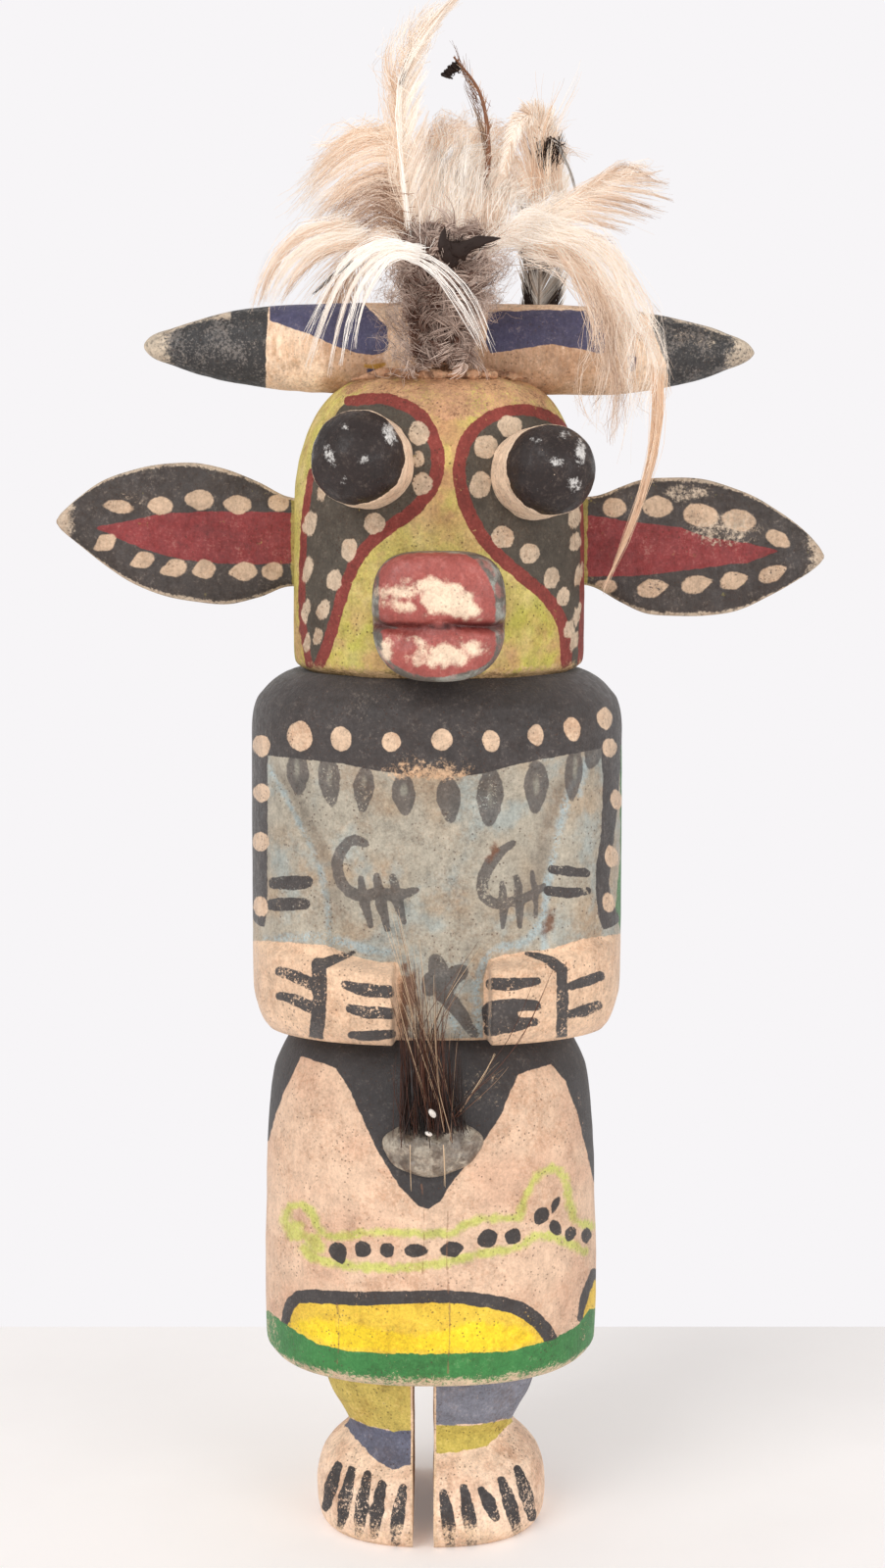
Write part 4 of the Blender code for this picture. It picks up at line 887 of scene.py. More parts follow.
# Legs and feet, one each side of the saw cut
def make_leg(name, side):
    """Half of a lathe-like form cut off by the flat wall of the slit: each row is the outer arc of a
    rounded oblong, then a straight wall back to its start."""
    levels = np.array([0.0, 0.0012, 0.003, 0.006, 0.011, 0.0145, 0.0170, 0.0190, 0.0207, 0.0222, 0.0240, 0.028, 0.033,
                       0.040, 0.0458])
    wide = np.array([0.0262, 0.0272, 0.0278, 0.0281, 0.0278, 0.0268, 0.0253, 0.0238, 0.0221, 0.0206, 0.0203, 0.0222,
                     0.0249, 0.0266, 0.0273])
    deep = np.array([0.0242, 0.0256, 0.0264, 0.0266, 0.0257, 0.0240, 0.0214, 0.0184, 0.0165, 0.0156, 0.0154, 0.0170,
                     0.0188, 0.0210, 0.0222])
    table = along(np.stack([levels * 1000, wide * 1000, deep * 1000], 1), 130) / 1000
    cut = -0.0032 + side * 0.00255 + 0.0015
    arc, wall = 160, 40
    rows = []
    for level, half_x, half_y in table:
        corner = half_y * (1 - min(abs(cut) / half_x, 0.99) ** 2.35) ** (1 / 2.35)
        start = math.atan2(cut, corner)
        first, last = (start, math.pi - start) if side > 0 else (-math.pi - start, start)
        angle = np.linspace(first, last, arc)
        radius = reach(angle, half_x, half_y, 2.35)
        outer = np.stack([radius * np.sin(angle), -radius * np.cos(angle)], 1)
        share = np.linspace(0, 1, wall + 2)[1:-1, None]
        inner = outer[-1] * (1 - share) + outer[0] * share
        ring = np.vstack([outer, inner])
        rows.append(np.column_stack([ring[:, 0] - 0.0015, ring[:, 1], np.full(len(ring), level)]))
    grid = np.array(rows)
    centre = grid.mean(axis=1, keepdims=True)
    foot = ramp(grid[..., 2], 0.0, 0.004)
    shift = 0.0003 * cloud(grid, 0.009, 51 + side) + 0.00008 * cloud(grid, 0.003, 53)
    away = grid - centre
    away[..., 2] = 0
    away /= np.linalg.norm(away, axis=-1, keepdims=True)
    grid = grid + away * (shift * foot)[..., None]
    low = grid[0] * np.array([1, 1, 0]) + (centre[0] - grid[0]) * np.array([1, 1, 0]) * 0.9
    grid = np.concatenate([low[None], grid, (centre[-1] + (grid[-1] - centre[-1]) * 0.1)[None]])
    spots = on_drawing(grid)
    x, y, z = (grid[..., k] for k in range(3))
    tall = z * 1000
    seen = y < 0
    far = np.full(x.shape, 9.0)
    thick = 0.2 + 2.2 * ramp(y, 0.001, 0.010)
    band = np.abs(tall - 23.6 + thick) - thick + 0.2
    if side < 0:
        upper = area(spots, [(300, 1380), (430, 1380), (430, 1459), (419, 1459), (400, 1460), (376, 1455), (354, 1445),
                             (300, 1430)], False, 40)
        lower = area(spots, [(354, 1445), (376, 1455), (400, 1460), (430, 1459), (430, 1494), (415, 1495), (400, 1500),
                             (382, 1489), (365, 1470), (345, 1446)], False)
        toes = [((345, 1495), (333, 1537)), ((359, 1499), (348, 1556)), ((375, 1504), (366, 1564)),
                ((390, 1514), (382, 1566)), ((411, 1518), (403, 1575))]
        upper = np.where(seen, upper, 23.6 - tall)
        lower = np.where(seen, lower, band)
    else:
        upper = area(spots, [(430, 1380), (600, 1380), (560, 1440), (524, 1446), (503, 1451), (482, 1454), (447, 1454),
                             (430, 1454)], False, 40)
        lower = area(spots, [(430, 1454), (447, 1454), (482, 1454), (503, 1451), (530, 1445), (510, 1462), (497, 1476),
                             (472, 1481), (445, 1483), (430, 1484)], False)
        toes = [((452, 1523), (460, 1581)), ((473, 1518), (482, 1579)), ((491, 1520), (505, 1548)),
                ((512, 1510), (528, 1564)), ((528, 1499), (543, 1548))]
        upper = np.where(seen, upper, 23.8 - tall)
        lower = np.where(seen, lower, band)
    ink = far
    for start, end in toes:
        middle = ((start[0] + end[0]) / 2 + side, (start[1] + end[1]) / 2)
        ink = np.minimum(ink, stroke(spots, [start, middle, end], [8, 15, 9]))
    scraped = np.where(seen, ramp(spots[..., 1], 1520, 1570) * 0.75, 0)
    ink = np.where(seen, ink, far)
    wall_x = -0.0032 + side * 0.00255
    inside = ramp(np.abs(x - wall_x), 0.0008, 0.0002)
    edge = np.maximum(np.maximum(inside * 1.5, ramp(z, 0.0014, 0.0002) * 0.8), scraped)
    piece = skin(name, grid, {"upper": upper, "lower": lower, "ink": ink, "wear": edge})
    tints = ((206, 184, 96), (104, 106, 124)) if side < 0 else ((128, 130, 142), (198, 178, 86))
    finish = Finish(name + " paint").wood((232, 200, 166), (180, 130, 92))
    finish.top = blend(finish.tree, 0.88, finish.top, colour(244, 214, 188))
    finish.cloudy((206, 160, 130), 90.0, 0.48, 0.66, 0.5, 1.7)
    finish.coat(tints[1], "lower", 0.4, 0.14)
    finish.coat(tints[0], "upper", 0.4, 0.14)
    finish.coat((66, 62, 62), "ink", 0.35, 0.42)
    finish.rub("wear", 0.45, (232, 200, 168))
    finish.chalk(0.85, 0.42, 0.9, 0.35)
    place(piece, finish.done(), "carved_body", "carved_body")


# Horn bar across the crown
BAR = dict(centre=0.0030, half=0.07225, level=0.2851, tall=0.0106, deep=0.0095, droop=0.0008)


def make_horn_bar():
    """Spindle: circles whose size falls off with the fourth power of the way to the tip."""
    rows, columns = 280, 96
    t = np.sin(np.linspace(-math.pi / 2, math.pi / 2, rows)) * 0.999
    share = np.maximum((1 - np.abs(t) ** 4) ** 0.8, 0.0)
    share = share * (1 - 0.0) + 0.13 * np.sqrt(np.clip(1 - np.abs(t) ** 14, 0, 1)) * (np.abs(t) > 0.9) * ramp(np.abs(t), 0.9, 1)
    turn = np.arange(columns) * 2 * math.pi / columns
    x = BAR["centre"] + BAR["half"] * t[:, None] + 0 * turn
    y = -BAR["deep"] * share[:, None] * np.cos(turn)
    z = BAR["level"] - BAR["droop"] * t[:, None] + BAR["tall"] * share[:, None] * np.sin(turn)
    grid = np.stack([x, y, z], axis=-1)
    push = 0.00035 * cloud(grid * [0.7, 1, 1], 0.010, 61) + 0.0001 * cloud(grid, 0.003, 62)
    grid[..., 1] -= push * np.cos(turn)
    grid[..., 2] += push * np.sin(turn)
    spots = on_drawing(grid)
    seen = np.cos(turn)[None] > -0.15 + 0 * grid[..., 0]
    far = np.full(grid.shape[:2], 9.0)
    mm = grid[..., 0] * 1000
    tips = np.where(seen, all_of(
        area(spots, [(100, 300), (275, 300), (272, 345), (271, 372), (272, 410), (100, 410)], False, 60),
        area(spots, [(800, 300), (661, 300), (664, 330), (672, 352), (680, 372), (683, 410), (800, 410)], False, 60)),
        np.minimum(mm + 40.0, 52.0 - mm))
    blue = all_of(
        area(spots, [(275, 327), (275, 312), (330, 309), (369, 308), (396, 335), (396, 358), (380, 363), (364, 360),
                     (340, 352), (315, 341)], False),
        area(spots, [(498, 318), (560, 316), (600, 317), (612, 320), (619, 340), (617, 362), (600, 358), (563, 351),
                     (530, 356), (500, 361), (496, 350)], False),
        area(spots, [(373, 376), (391, 376), (391, 388), (375, 386)], False),
        area(spots, [(640, 362), (649, 364), (648, 380), (643, 378)], False),
        area(spots, [(640, 312), (655, 312), (650, 330), (644, 340)], False))
    blue = np.where(seen, blue, np.maximum(np.abs(mm - 5.0) - 30.0, -4.0 * np.sin(turn)[None] - 1.0 + 0 * mm))
    gold = np.where(seen, stroke(spots, [(372, 373), (382, 374), (392, 372)], [4, 5, 4]), far)
    root = np.minimum(np.abs(spots[..., 0] - 360) - 32, np.abs(spots[..., 0] - 560) - 70) * MM_PER_STEP
    brown = np.where(seen, np.maximum(root, 0.25 * (350 - spots[..., 1])), far)
    end = ramp(np.abs(grid[..., 0] - BAR["centre"]), 0.058, 0.0712)
    top = ramp(np.sin(turn)[None] + 0.25 * cloud(grid, 0.006, 63), 0.55, 0.95) * (0.35 + 0.5 * (np.abs(mm) > 48))
    dust = np.where(seen, ramp(np.hypot((spots[..., 0] - 713) / 2.4, spots[..., 1] - 344), 30, 4), 0)
    piece = skin("horn_bar_carved", grid, {"tips": tips, "blue": blue, "gold": gold, "brown": brown,
                                           "wear": np.maximum(np.maximum(end, top), dust * 0.62)})
    finish = Finish("horn bar paint", 0.5, 0.5).wood((254, 226, 198), (214, 172, 134))
    finish.coat((176, 130, 94), "brown", 1.6, 0.3, 1.6, 0.6)
    finish.coat((76, 74, 104), "blue", 0.25, 0.10)
    finish.coat((196, 150, 70), "gold", 0.2, 0.2)
    finish.coat((50, 48, 48), "tips", 0.3, 0.06)
    finish.coat((140, 132, 126), "tips", 0.8, 0.85, 0.6, 0.55)
    finish.rub("wear", 0.42, (204, 186, 164))
    finish.chalk(0.8, 0.3, 0.7, 0.40)
    finish.shine(0.38, 0.72)
    place(piece, finish.done(), "horn_bar", "horn_bar")


# Ears: leaf plates with a thin rim
def make_ear(name, side, centre_z, rise, length):
    """Leaf plate: the half height along it comes from a smooth outline, and across it the thickness
    falls to the rim with the cube of the way out."""
    outline = along([(0.0, 10.6, 10.6), (5.5, 10.9, 10.9), (12, 13.4, 13.9), (19, 15.7, 16.4), (27, 16.6, 16.5),
                     (34.7, 15.9, 15.5), (42, 13.9, 13.0), (49, 10.3, 9.1), (55, 6.0, 5.0), (58.6, 2.6, 2.2),
                     (59.8, 0.7, 0.6)], 200)
    rows, columns = 200, 120
    turn = np.arange(columns) * 2 * math.pi / columns
    run = outline[:, 0] / 59.8
    lift = np.sin(turn)
    half = np.where(lift[None] > 0, outline[:, 1:2], outline[:, 2:3]) / 1000
    thick = 0.0031 * (1 - 0.45 * run ** 3)[:, None]
    x = side * (0.0312 + length * run[:, None]) + HEAD["centre"] + 0 * turn
    z = centre_z + rise * run[:, None] + half * lift
    y = -thick * np.sign(np.cos(turn)) * (1 - np.abs(lift) ** 3) ** 0.6
    y = y - 0.0006 * (1 - lift ** 2) * np.sin(run * math.pi)[:, None] * -1
    grid = np.stack([x, y, z], axis=-1)
    if side < 0:
        grid = grid[:, ::-1]
    wave = 0.0002 * cloud(grid, 0.009, 71 + side) + 0.00006 * cloud(grid, 0.003, 73)
    grid[..., 1] += wave
    grid[..., 2] += 0.0003 * cloud(grid * [1, 0, 1], 0.008, 75 + side) * np.abs(lift if side > 0 else lift[::-1])
    spots = on_drawing(grid)
    seen = grid[..., 1] < 0.0002
    far = np.full(grid.shape[:2], 9.0)
    if side < 0:
        leaf = area(spots, [(96, 538), (124, 533), (166, 524), (208, 522), (255, 522), (310, 523), (310, 574),
                            (260, 576), (222, 575), (186, 571), (152, 562), (124, 551)], False)
        marks = [(121, 517, 30, 14, 100, 0.2), (163, 516, 26, 19, 95, 0.3), (203, 510, 30, 21, 95, 0.3),
                 (242, 515, 28, 20, 95, 0.3), (284, 513, 22, 18, 95, 0.1), (107, 554, 24, 17, 60, 0.4),
                 (145, 572, 26, 17, 70, 0.5), (177, 580, 28, 19, 75, 0.5), (208, 581, 24, 20, 80, 0.4),
                 (248, 583, 28, 20, 85, 0.4), (278, 583, 22, 18, 90, 0.1)]
        pointing = 1
    else:
        leaf = area(spots, [(585, 526), (604, 526), (636, 531), (693, 538), (721, 548), (763, 554), (795, 562),
                            (763, 574), (721, 579), (678, 585), (640, 588), (608, 588), (585, 588)], False)
        marks = [(627, 518, 25, 20, -90, 0.1), (671, 517, 30, 22, -88, 0.1), (715, 526, 36, 24, -80, 0.0),
                 (754, 531, 34, 22, -80, 0.0), (794, 550, 26, 16, -60, 0.2), (618, 599, 24, 15, -95, 0.1),
                 (666, 600, 32, 19, -100, 0.4), (711, 596, 32, 19, -102, 0.5), (749, 592, 30, 18, -105, 0.5),
                 (789, 585, 30, 17, -112, 0.5)]
        pointing = 1
    dots = far
    for u, v, long, wide, turned, point in marks:
        dots = np.minimum(dots, dab(spots, (u, v), wide, long, turned * pointing, point))
    leaf = np.where(seen, leaf, far)
    dots = np.where(seen, dots, far)
    rim = ramp(np.abs(lift), 0.86, 0.985)[None] * np.ones((rows, 1))
    if side < 0:
        rim = rim[:, ::-1]
    tip = ramp(run, 0.86, 0.99)[:, None] + 0 * rim
    if side < 0:
        upper = 0.5 * ramp(np.hypot((spots[..., 0] - 125) / 2.2, spots[..., 1] - 512), 24, 5)
    else:
        upper = 0.68 * ramp(np.hypot((spots[..., 0] - 742) / 2.2, spots[..., 1] - 540), 36, 8)
        upper = np.maximum(upper, 0.75 * ramp(np.hypot((spots[..., 0] - 700) / 2.5, spots[..., 1] - 503), 18, 5))
    root = ramp(run, 0.075, 0.055)[:, None] + 0 * rim
    wear = np.maximum(np.maximum(rim * 0.9, tip), np.where(seen, upper, 0.1))
    piece = skin(name + "_leaf", grid, {"leaf": leaf, "dots": dots, "wear": wear, "root": 0.35 - root})
    finish = Finish(name + " paint", 0.6, 0.4).wood((222, 186, 146), (150, 104, 70))
    finish.top = blend(finish.tree, 0.97, finish.top, colour(62, 57, 56))
    finish.cloudy((80, 74, 72), 150.0, 0.48, 0.66, 0.6, 2.6)
    finish.coat((136, 56, 56), "leaf", 0.25, 0.12)
    finish.coat((206, 176, 148), "dots", 0.3, 0.28, 0.2, 0.92)
    finish.coat((170, 156, 84), "root", 0.4, 0.3, 0.1, 0.8)
    finish.rub("wear", 0.44, (198, 178, 156))
    finish.chalk(0.85, 0.3, 0.6, 0.26)
    finish.shine(0.5, 0.8)
    place(piece, finish.done(), name, name)


# Eyes: dowels with a domed black cap
def make_eye(name, side, base_x, base_z, splay, lift, seed):
    """Turned form: a profile of length along the axis and radius, carried round the axis."""
    axis = np.array([side * math.tan(math.radians(splay)), -1.0, math.tan(math.radians(lift))])
    axis /= np.linalg.norm(axis)
    across = np.cross(axis, [0.0, 0.0, 1.0])
    across /= np.linalg.norm(across)
    upward = np.cross(across, axis)
    profile = along([(-4.9, 0.4), (-4.9, 9.8), (-4.4, 10.4), (0, 10.5), (6, 10.5), (11.2, 10.5), (12.9, 10.25), (14.6, 9.6),
                     (16.6, 8.3), (18.5, 6.3), (20.2, 3.6), (21.1, 0.5)], 150) / 1000
    profile[:, 1] *= 1.0 if side < 0 else 0.965
    columns = 130
    turn = np.arange(columns) * 2 * math.pi / columns
    ring = np.cos(turn)[:, None] * across + np.sin(turn)[:, None] * upward
    centre = np.array([base_x, -HEAD["depth"] / 2, base_z]) + profile[:, :1] * axis
    grid = centre[:, None] + profile[:, 1][:, None, None] * ring[None]
    push = 0.00040 * cloud(grid, 0.0065, seed) + 0.00014 * cloud(grid, 0.0024, seed + 1)
    grid = grid + push[..., None] * ring[None] * np.minimum(profile[:, 1] / 0.006, 1)[:, None, None]
    run = profile[:, 0] * 1000
    sway = 0.8 * np.sin(turn * 2 + seed) + 0.5 * np.sin(turn * 5 + 2 * seed)
    cap = (12.4 + 0.35 * sway)[None] - run[:, None] + 0 * grid[..., 0]
    spots = on_drawing(grid)
    # Pale chips on the cap: wear, and painted highlights near its edges, such as the tall ovals at its sides
    if side < 0:
        chips_and_glints = [(337, 466, 18, 44, -18), (398, 441, 22, 44, -8), (371, 468, 22, 18, 0), (352, 436, 24, 14, 30),
                 (386, 492, 22, 12, -30), (350, 490, 14, 14, 0)]
    else:
        chips_and_glints = [(592, 462, 20, 54, 8), (568, 472, 26, 18, 0), (586, 494, 24, 22, 0), (548, 450, 22, 16, 0),
                 (574, 444, 26, 16, 0), (545, 500, 16, 12, 0)]
    chip_and_glint = np.full(cap.shape, 0.0)
    for u, v, wide, tall, turned in chips_and_glints:
        chip_and_glint = np.maximum(chip_and_glint, 0.85 * ramp(dab(spots, (u, v), wide, tall, turned), 1.2, -2.4))
    chip_and_glint = np.where(run[:, None] > 8, chip_and_glint, 0)
    ridge = np.exp(-((run - 12.2) / 0.9) ** 2)[:, None] * 0.25 + 0 * cap
    piece = skin(name + "_dowel", grid, {"cap": cap, "wear": np.maximum(chip_and_glint, ridge)})
    finish = Finish(name + " paint", 0.45, 0.35).wood((250, 220, 190), (196, 150, 112))
    finish.top = blend(finish.tree, 0.85, finish.top, colour(255, 228, 200))
    finish.cloudy((206, 158, 124), 160.0, 0.56, 0.76, 0.45, 0.4)
    finish.coat((44, 34, 32), "cap", 0.7, 0.05)
    finish.cloudy((112, 96, 86), 520.0, 0.57, 0.74, 0.4, 6.6)
    # Pale chips rubbed into the black: wear, and painted highlights near the cap's edges
    finish.rub("wear", 0.44, (206, 202, 198))
    finish.chalk(0.9, 0.2, 0.4, 0.14)
    finish.shine(0.25, 0.6, 400.0)
    place(piece, finish.done(0.00016), name, name)


# Snout block
def make_snout():
    """Rounded oblong block: rings of an oblong outline carried forward and drawn in at the front,
    where the face bulges a little and a soft groove parts the lips."""
    profile = along([(0.0, 0.03), (0.0, 0.97), (0.3, 1.0), (8, 1.0), (16, 1.0), (19.2, 0.985), (21.2, 0.945), (22.4, 0.87),
                     (23.1, 0.76), (23.4, 0.6), (23.6, 0.4), (23.7, 0.2), (23.7, 0.02)], 180)
    columns = 240
    turn = np.arange(columns) * 2 * math.pi / columns
    centre_z = 0.2237 + 0.0003
    power = np.where(np.sin(turn) > 0, 3.5, 2.6)
    wide = (np.abs(np.cos(turn) / 0.0149) ** power + np.abs(np.sin(turn) / 0.0144) ** power) ** (-1 / power)
    x = 0.0006 + wide[None] * profile[:, 1:2] * np.cos(turn)
    z = centre_z + wide[None] * profile[:, 1:2] * np.sin(turn)
    y = -0.0290 - profile[:, :1] / 1000 * 0.972 + 0 * x
    grid = np.stack([x, y, z], axis=-1)[:, ::-1]
    x, y, z = (grid[..., k].copy() for k in range(3))
    forward = ramp(-y, 0.040, 0.050)
    line = 0.2218 + 0.0004 * np.sin(x * 300 + 0.5) + 0.0006 * (x / 0.015) ** 2
    gap = np.abs(z - line)
    groove = np.exp(-(gap / 0.0011) ** 1.5) * 0.0030 + np.exp(-(gap / 0.0034) ** 2) * 0.0012
    shrink = 1 - 0.055 * np.exp(-(gap / 0.0013) ** 2) * ramp(-y, 0.036, 0.046)
    grid[..., 0] = 0.0006 + (x - 0.0006) * shrink
    grid[..., 1] += groove * forward
    grid[..., 1] += 0.0010 * ramp(line - z, 0.0, 0.003) * forward
    grid[..., 1] += 0.0022 * ((x - 0.0006) / 0.0149) ** 2 * forward
    push = 0.0003 * cloud(grid, 0.006, 91) + 0.0001 * cloud(grid, 0.0022, 92)
    grid[..., 1] += push * forward
    spots = on_drawing(grid)
    face = area(spots, [(391, 571), (420, 564), (460, 564), (482, 570), (499, 590), (505, 616), (505, 660), (495, 678),
                        (458, 690), (424, 688), (400, 676), (390, 650), (387, 610)])
    face = np.maximum(face, 1.6 - (-grid[..., 1] - 0.045) * 1000)
    upper = all_of(dab(spots, (456, 612), 56, 34, 14), dab(spots, (408, 603), 34, 13, -8), dab(spots, (412, 618), 26, 9, 10),
                   dab(spots, (478, 622), 24, 18, 10), dab(spots, (438, 600), 26, 16, 0))
    lower = all_of(dab(spots, (457, 668), 52, 20, -6), dab(spots, (436, 676), 24, 10, 10), dab(spots, (424, 656), 16, 6, 20),
                   dab(spots, (482, 662), 22, 12, -10), dab(spots, (394, 664), 10, 18, 10))
    bare = all_of(upper, lower)
    # Painted shade: a dark line down the mouth groove, darkest where the lips part at its right end
    dark = all_of(stroke(spots, [(383, 639), (410, 637), (450, 639), (511, 638)], [4, 5, 6, 5]), dab(spots, (511, 637), 6, 8))
    dark = np.where(-grid[..., 1] > 0.036, dark, 9.0)
    # Painted shade in and beside the mouth groove
    shade = ramp(gap, 0.0022, 0.0004)
    edges = ramp(np.abs(face), 1.6, 0.0) * 0.35
    piece = skin("snout_block", grid, {"face": face, "bare": bare, "dark": dark, "wear": edges, "shade": shade})
    finish = Finish("snout paint", 0.5, 0.5).wood((222, 186, 150), (150, 104, 72))
    finish.top = blend(finish.tree, 0.96, finish.top, colour(92, 88, 82))
    finish.cloudy((168, 170, 160), 150.0, 0.48, 0.62, 0.75, 0.9)
    finish.coat((160, 78, 70), "face", 0.5, 0.12, 0.25)
    finish.cloudy((186, 112, 104), 230.0, 0.50, 0.68, 0.55, 3.9)
    finish.coat((240, 212, 184), "bare", 1.6, 0.3, 1.0)
    # Painted shade: the mouth groove darkened, then the dark line along it
    finish.top = blend(finish.tree, maths(finish.tree, "MULTIPLY", finish.field("shade"), 0.5), finish.top, colour(112, 44, 42))
    finish.coat((84, 30, 28), "dark", 0.3, 0.1, 0.5, 0.9)
    finish.rub("wear", 0.45, (214, 196, 184))
    finish.chalk(0.7, 0.25, 0.5, 0.2)
    finish.shine(0.32, 0.6)
    place(piece, finish.done(0.00014), "snout", "snout")


# Dried glue on the kilt
DAB = dict(x=-0.0009, z=0.1007, width=0.0236, height=0.0136, thick=0.0048)


def kilt_front(x, z):
    """Depth of the kilt's front: the rounded oblong solved for its y at this x."""
    shares = np.array(KILT_SHAPE)
    share = np.interp((z - KILT["base"]) / KILT["height"], shares[:, 0], shares[:, 1])
    across = np.abs((x - KILT["centre"]) / (KILT["width"] / 2 * share))
    return -KILT["depth"] / 2 * share * (1 - across ** KILT["power"]) ** (1 / KILT["power"])


def make_glue():
    """Low dome: rings of an uneven oval that lie on the kilt, raised by the root of one less the
    square of the way out, with small lumps."""
    rows, columns = 70, 140
    turn = np.arange(columns) * 2 * math.pi / columns
    wobble = 1 + 0.05 * np.sin(2 * turn + 1) + 0.04 * np.sin(3 * turn) + 0.02 * np.sin(7 * turn)
    rho = np.concatenate([np.linspace(0.05, 1.0, 12), np.sin(np.linspace(math.pi / 2, 0.02, rows))])[:, None]
    top = np.concatenate([np.zeros(12), np.ones(rows)])[:, None]
    x = DAB["x"] + 0.94 * DAB["width"] / 2 * rho * np.cos(turn) * wobble
    z = DAB["z"] + 0.0004 + DAB["height"] / 2 * rho * np.sin(turn) * wobble
    rise = DAB["thick"] * np.sqrt(np.clip(1 - rho ** 2, 0, 1)) * top + 0.0003 * top
    seat = kilt_front(x, z) + 0.0004
    spread = np.stack([x, 0 * x, z], axis=-1)
    rise = rise * (1 + 0.22 * cloud(spread, 0.0045, 101) + 0.10 * cloud(spread, 0.0018, 102))
    grid = np.stack([x, seat - rise, z], axis=-1)
    piece = skin("glue_lump", grid, {"depth": rise * 1000 / 4.8})
    finish = Finish("dried glue finish", 0.38, 0.5)
    finish.ground((134, 122, 108))
    finish.cloudy((186, 174, 156), 300.0, 0.47, 0.62, 0.8, 0.3)
    finish.cloudy((84, 66, 52), 210.0, 0.48, 0.64, 0.85, 5.0)
    finish.chalk(0.9, 0.35, 0.8, 0.2)
    finish.shader.inputs["Coat Weight"].default_value = 0.3
    finish.shader.inputs["Coat Roughness"].default_value = 0.25
    place(piece, finish.done(0.0002), "glue_dab", "glue_dab")


make_head()
make_torso()
make_kilt()
make_leg("leg_left", -1)
make_leg("leg_right", 1)
make_horn_bar()
make_ear("ear_left", -1, 0.2395, 0.0052, 0.0598)
make_ear("ear_right", 1, 0.2403, -0.0040, 0.0605)
make_eye("eye_left", -1, -0.0157, 0.2584, 7.6, 2.8, 81)
make_eye("eye_right", 1, 0.0231, 0.2557, 10.2, 3.2, 85)
make_snout()
make_glue()


# Feathers
ORIGIN = np.array([0.0, -0.0168, 0.3055])


def off_drawing(knots):
    """Places in the room of spots on the front drawing, each given with its depth y in millimetres:
    the straight line from the viewpoint through the spot is followed to that depth."""
    knots = np.asarray(knots, dtype=float)
    across = (knots[..., 0] - FRAME_SHORT / 2) / FOCAL
    above = (FRAME_LONG / 2 - knots[..., 1]) / FOCAL
    way = np.stack([across, math.cos(EYE_PITCH) + above * math.sin(EYE_PITCH),
                    above * math.cos(EYE_PITCH) - math.sin(EYE_PITCH)], axis=-1)
    return EYE_POINT + way * ((knots[..., 2] / 1000 - EYE_POINT[1]) / way[..., 1])[..., None]


def plume(name, node, finish, lines, count, seed, tone=(0.7, 0.8), warm=0.3, thick=0.08, clumps=14, gather=0.75,
          loose=1.0, short=0.5, dark=0.0, curl=1.0, streak=0.22):
    """Soft strands that cross a row of lines on the drawing. A strand takes one share along every line,
    and runs as a smooth curve through those places, from the first line to the last. Strands are
    drawn together in clumps towards their tips, each clump sways and waves as one, a few strands
    stray, and some stop short. Its tone is that of its place, its clump and its own."""
    random = np.random.default_rng(seed)
    share = random.uniform(0, 1, count)
    group = np.clip(np.floor(share * clumps + random.normal(0, 0.25, count)), 0, clumps - 1).astype(int)
    drawn = (group + 0.5 + 0.3 * np.sin(group * 2.4)) / clumps
    stray = np.where(random.uniform(0, 1, count) < 0.22, 3.4, 1.0)[:, None] * loose
    sway = random.normal(0, 1, (clumps, 3)) * [1.5, 2.4, 1.5]
    last = len(lines) - 1
    places = []
    for k, knots in enumerate(lines):
        line = along(off_drawing(knots), 60)
        at = np.clip(share + gather * min(1.0, 1.4 * k / last) * (drawn - share), 0, 1) * 59
        low = np.clip(np.floor(at).astype(int), 0, 58)
        part = (at - low)[:, None]
        spot = line[low] * (1 - part) + line[low + 1] * part
        jitter = random.normal(0, 1, (count, 3)) * [0.45, 0.8, 0.45] * stray
        places.append(spot + (jitter + sway[group] * loose * k / last * 0.6) / 1000)
    steps = 10
    t = np.linspace(0, 1, steps)[None]
    u = t * random.uniform(short, 1.05, (count, 1))
    table = along(np.eye(last + 1), 61)
    weights = np.stack([np.interp(u, np.linspace(0, 1, 61), table[:, k]) for k in range(last + 1)], axis=-1)
    weights /= weights.sum(axis=-1, keepdims=True)
    paths = (weights @ np.stack(places, axis=1))
    bend = random.uniform(3, 8, clumps)[group][:, None, None] * max(curl, 1)
    phase = random.uniform(0, 6, (clumps, 3))[group][:, None] + random.normal(0, 0.4, (count, 1, 3))
    paths = paths + np.sin(u[..., None] * bend + phase) * u[..., None] * 0.0007 * loose * curl
    radii = thick / 1000 * (1 - 0.7 * t) * random.uniform(0.7, 1.25, (count, 1))
    shade = np.interp(t, np.linspace(0, 1, len(tone)), tone) + 0.11 * random.normal(0, 1, (count, 1))
    shade = shade + streak * random.normal(0, 1, clumps)[group][:, None]
    full = np.ones((count, steps))
    piece = strands(name, paths, radii, {"tone": shade, "dark": dark * full, "warm": warm * full})
    place(piece, finish, node, node)


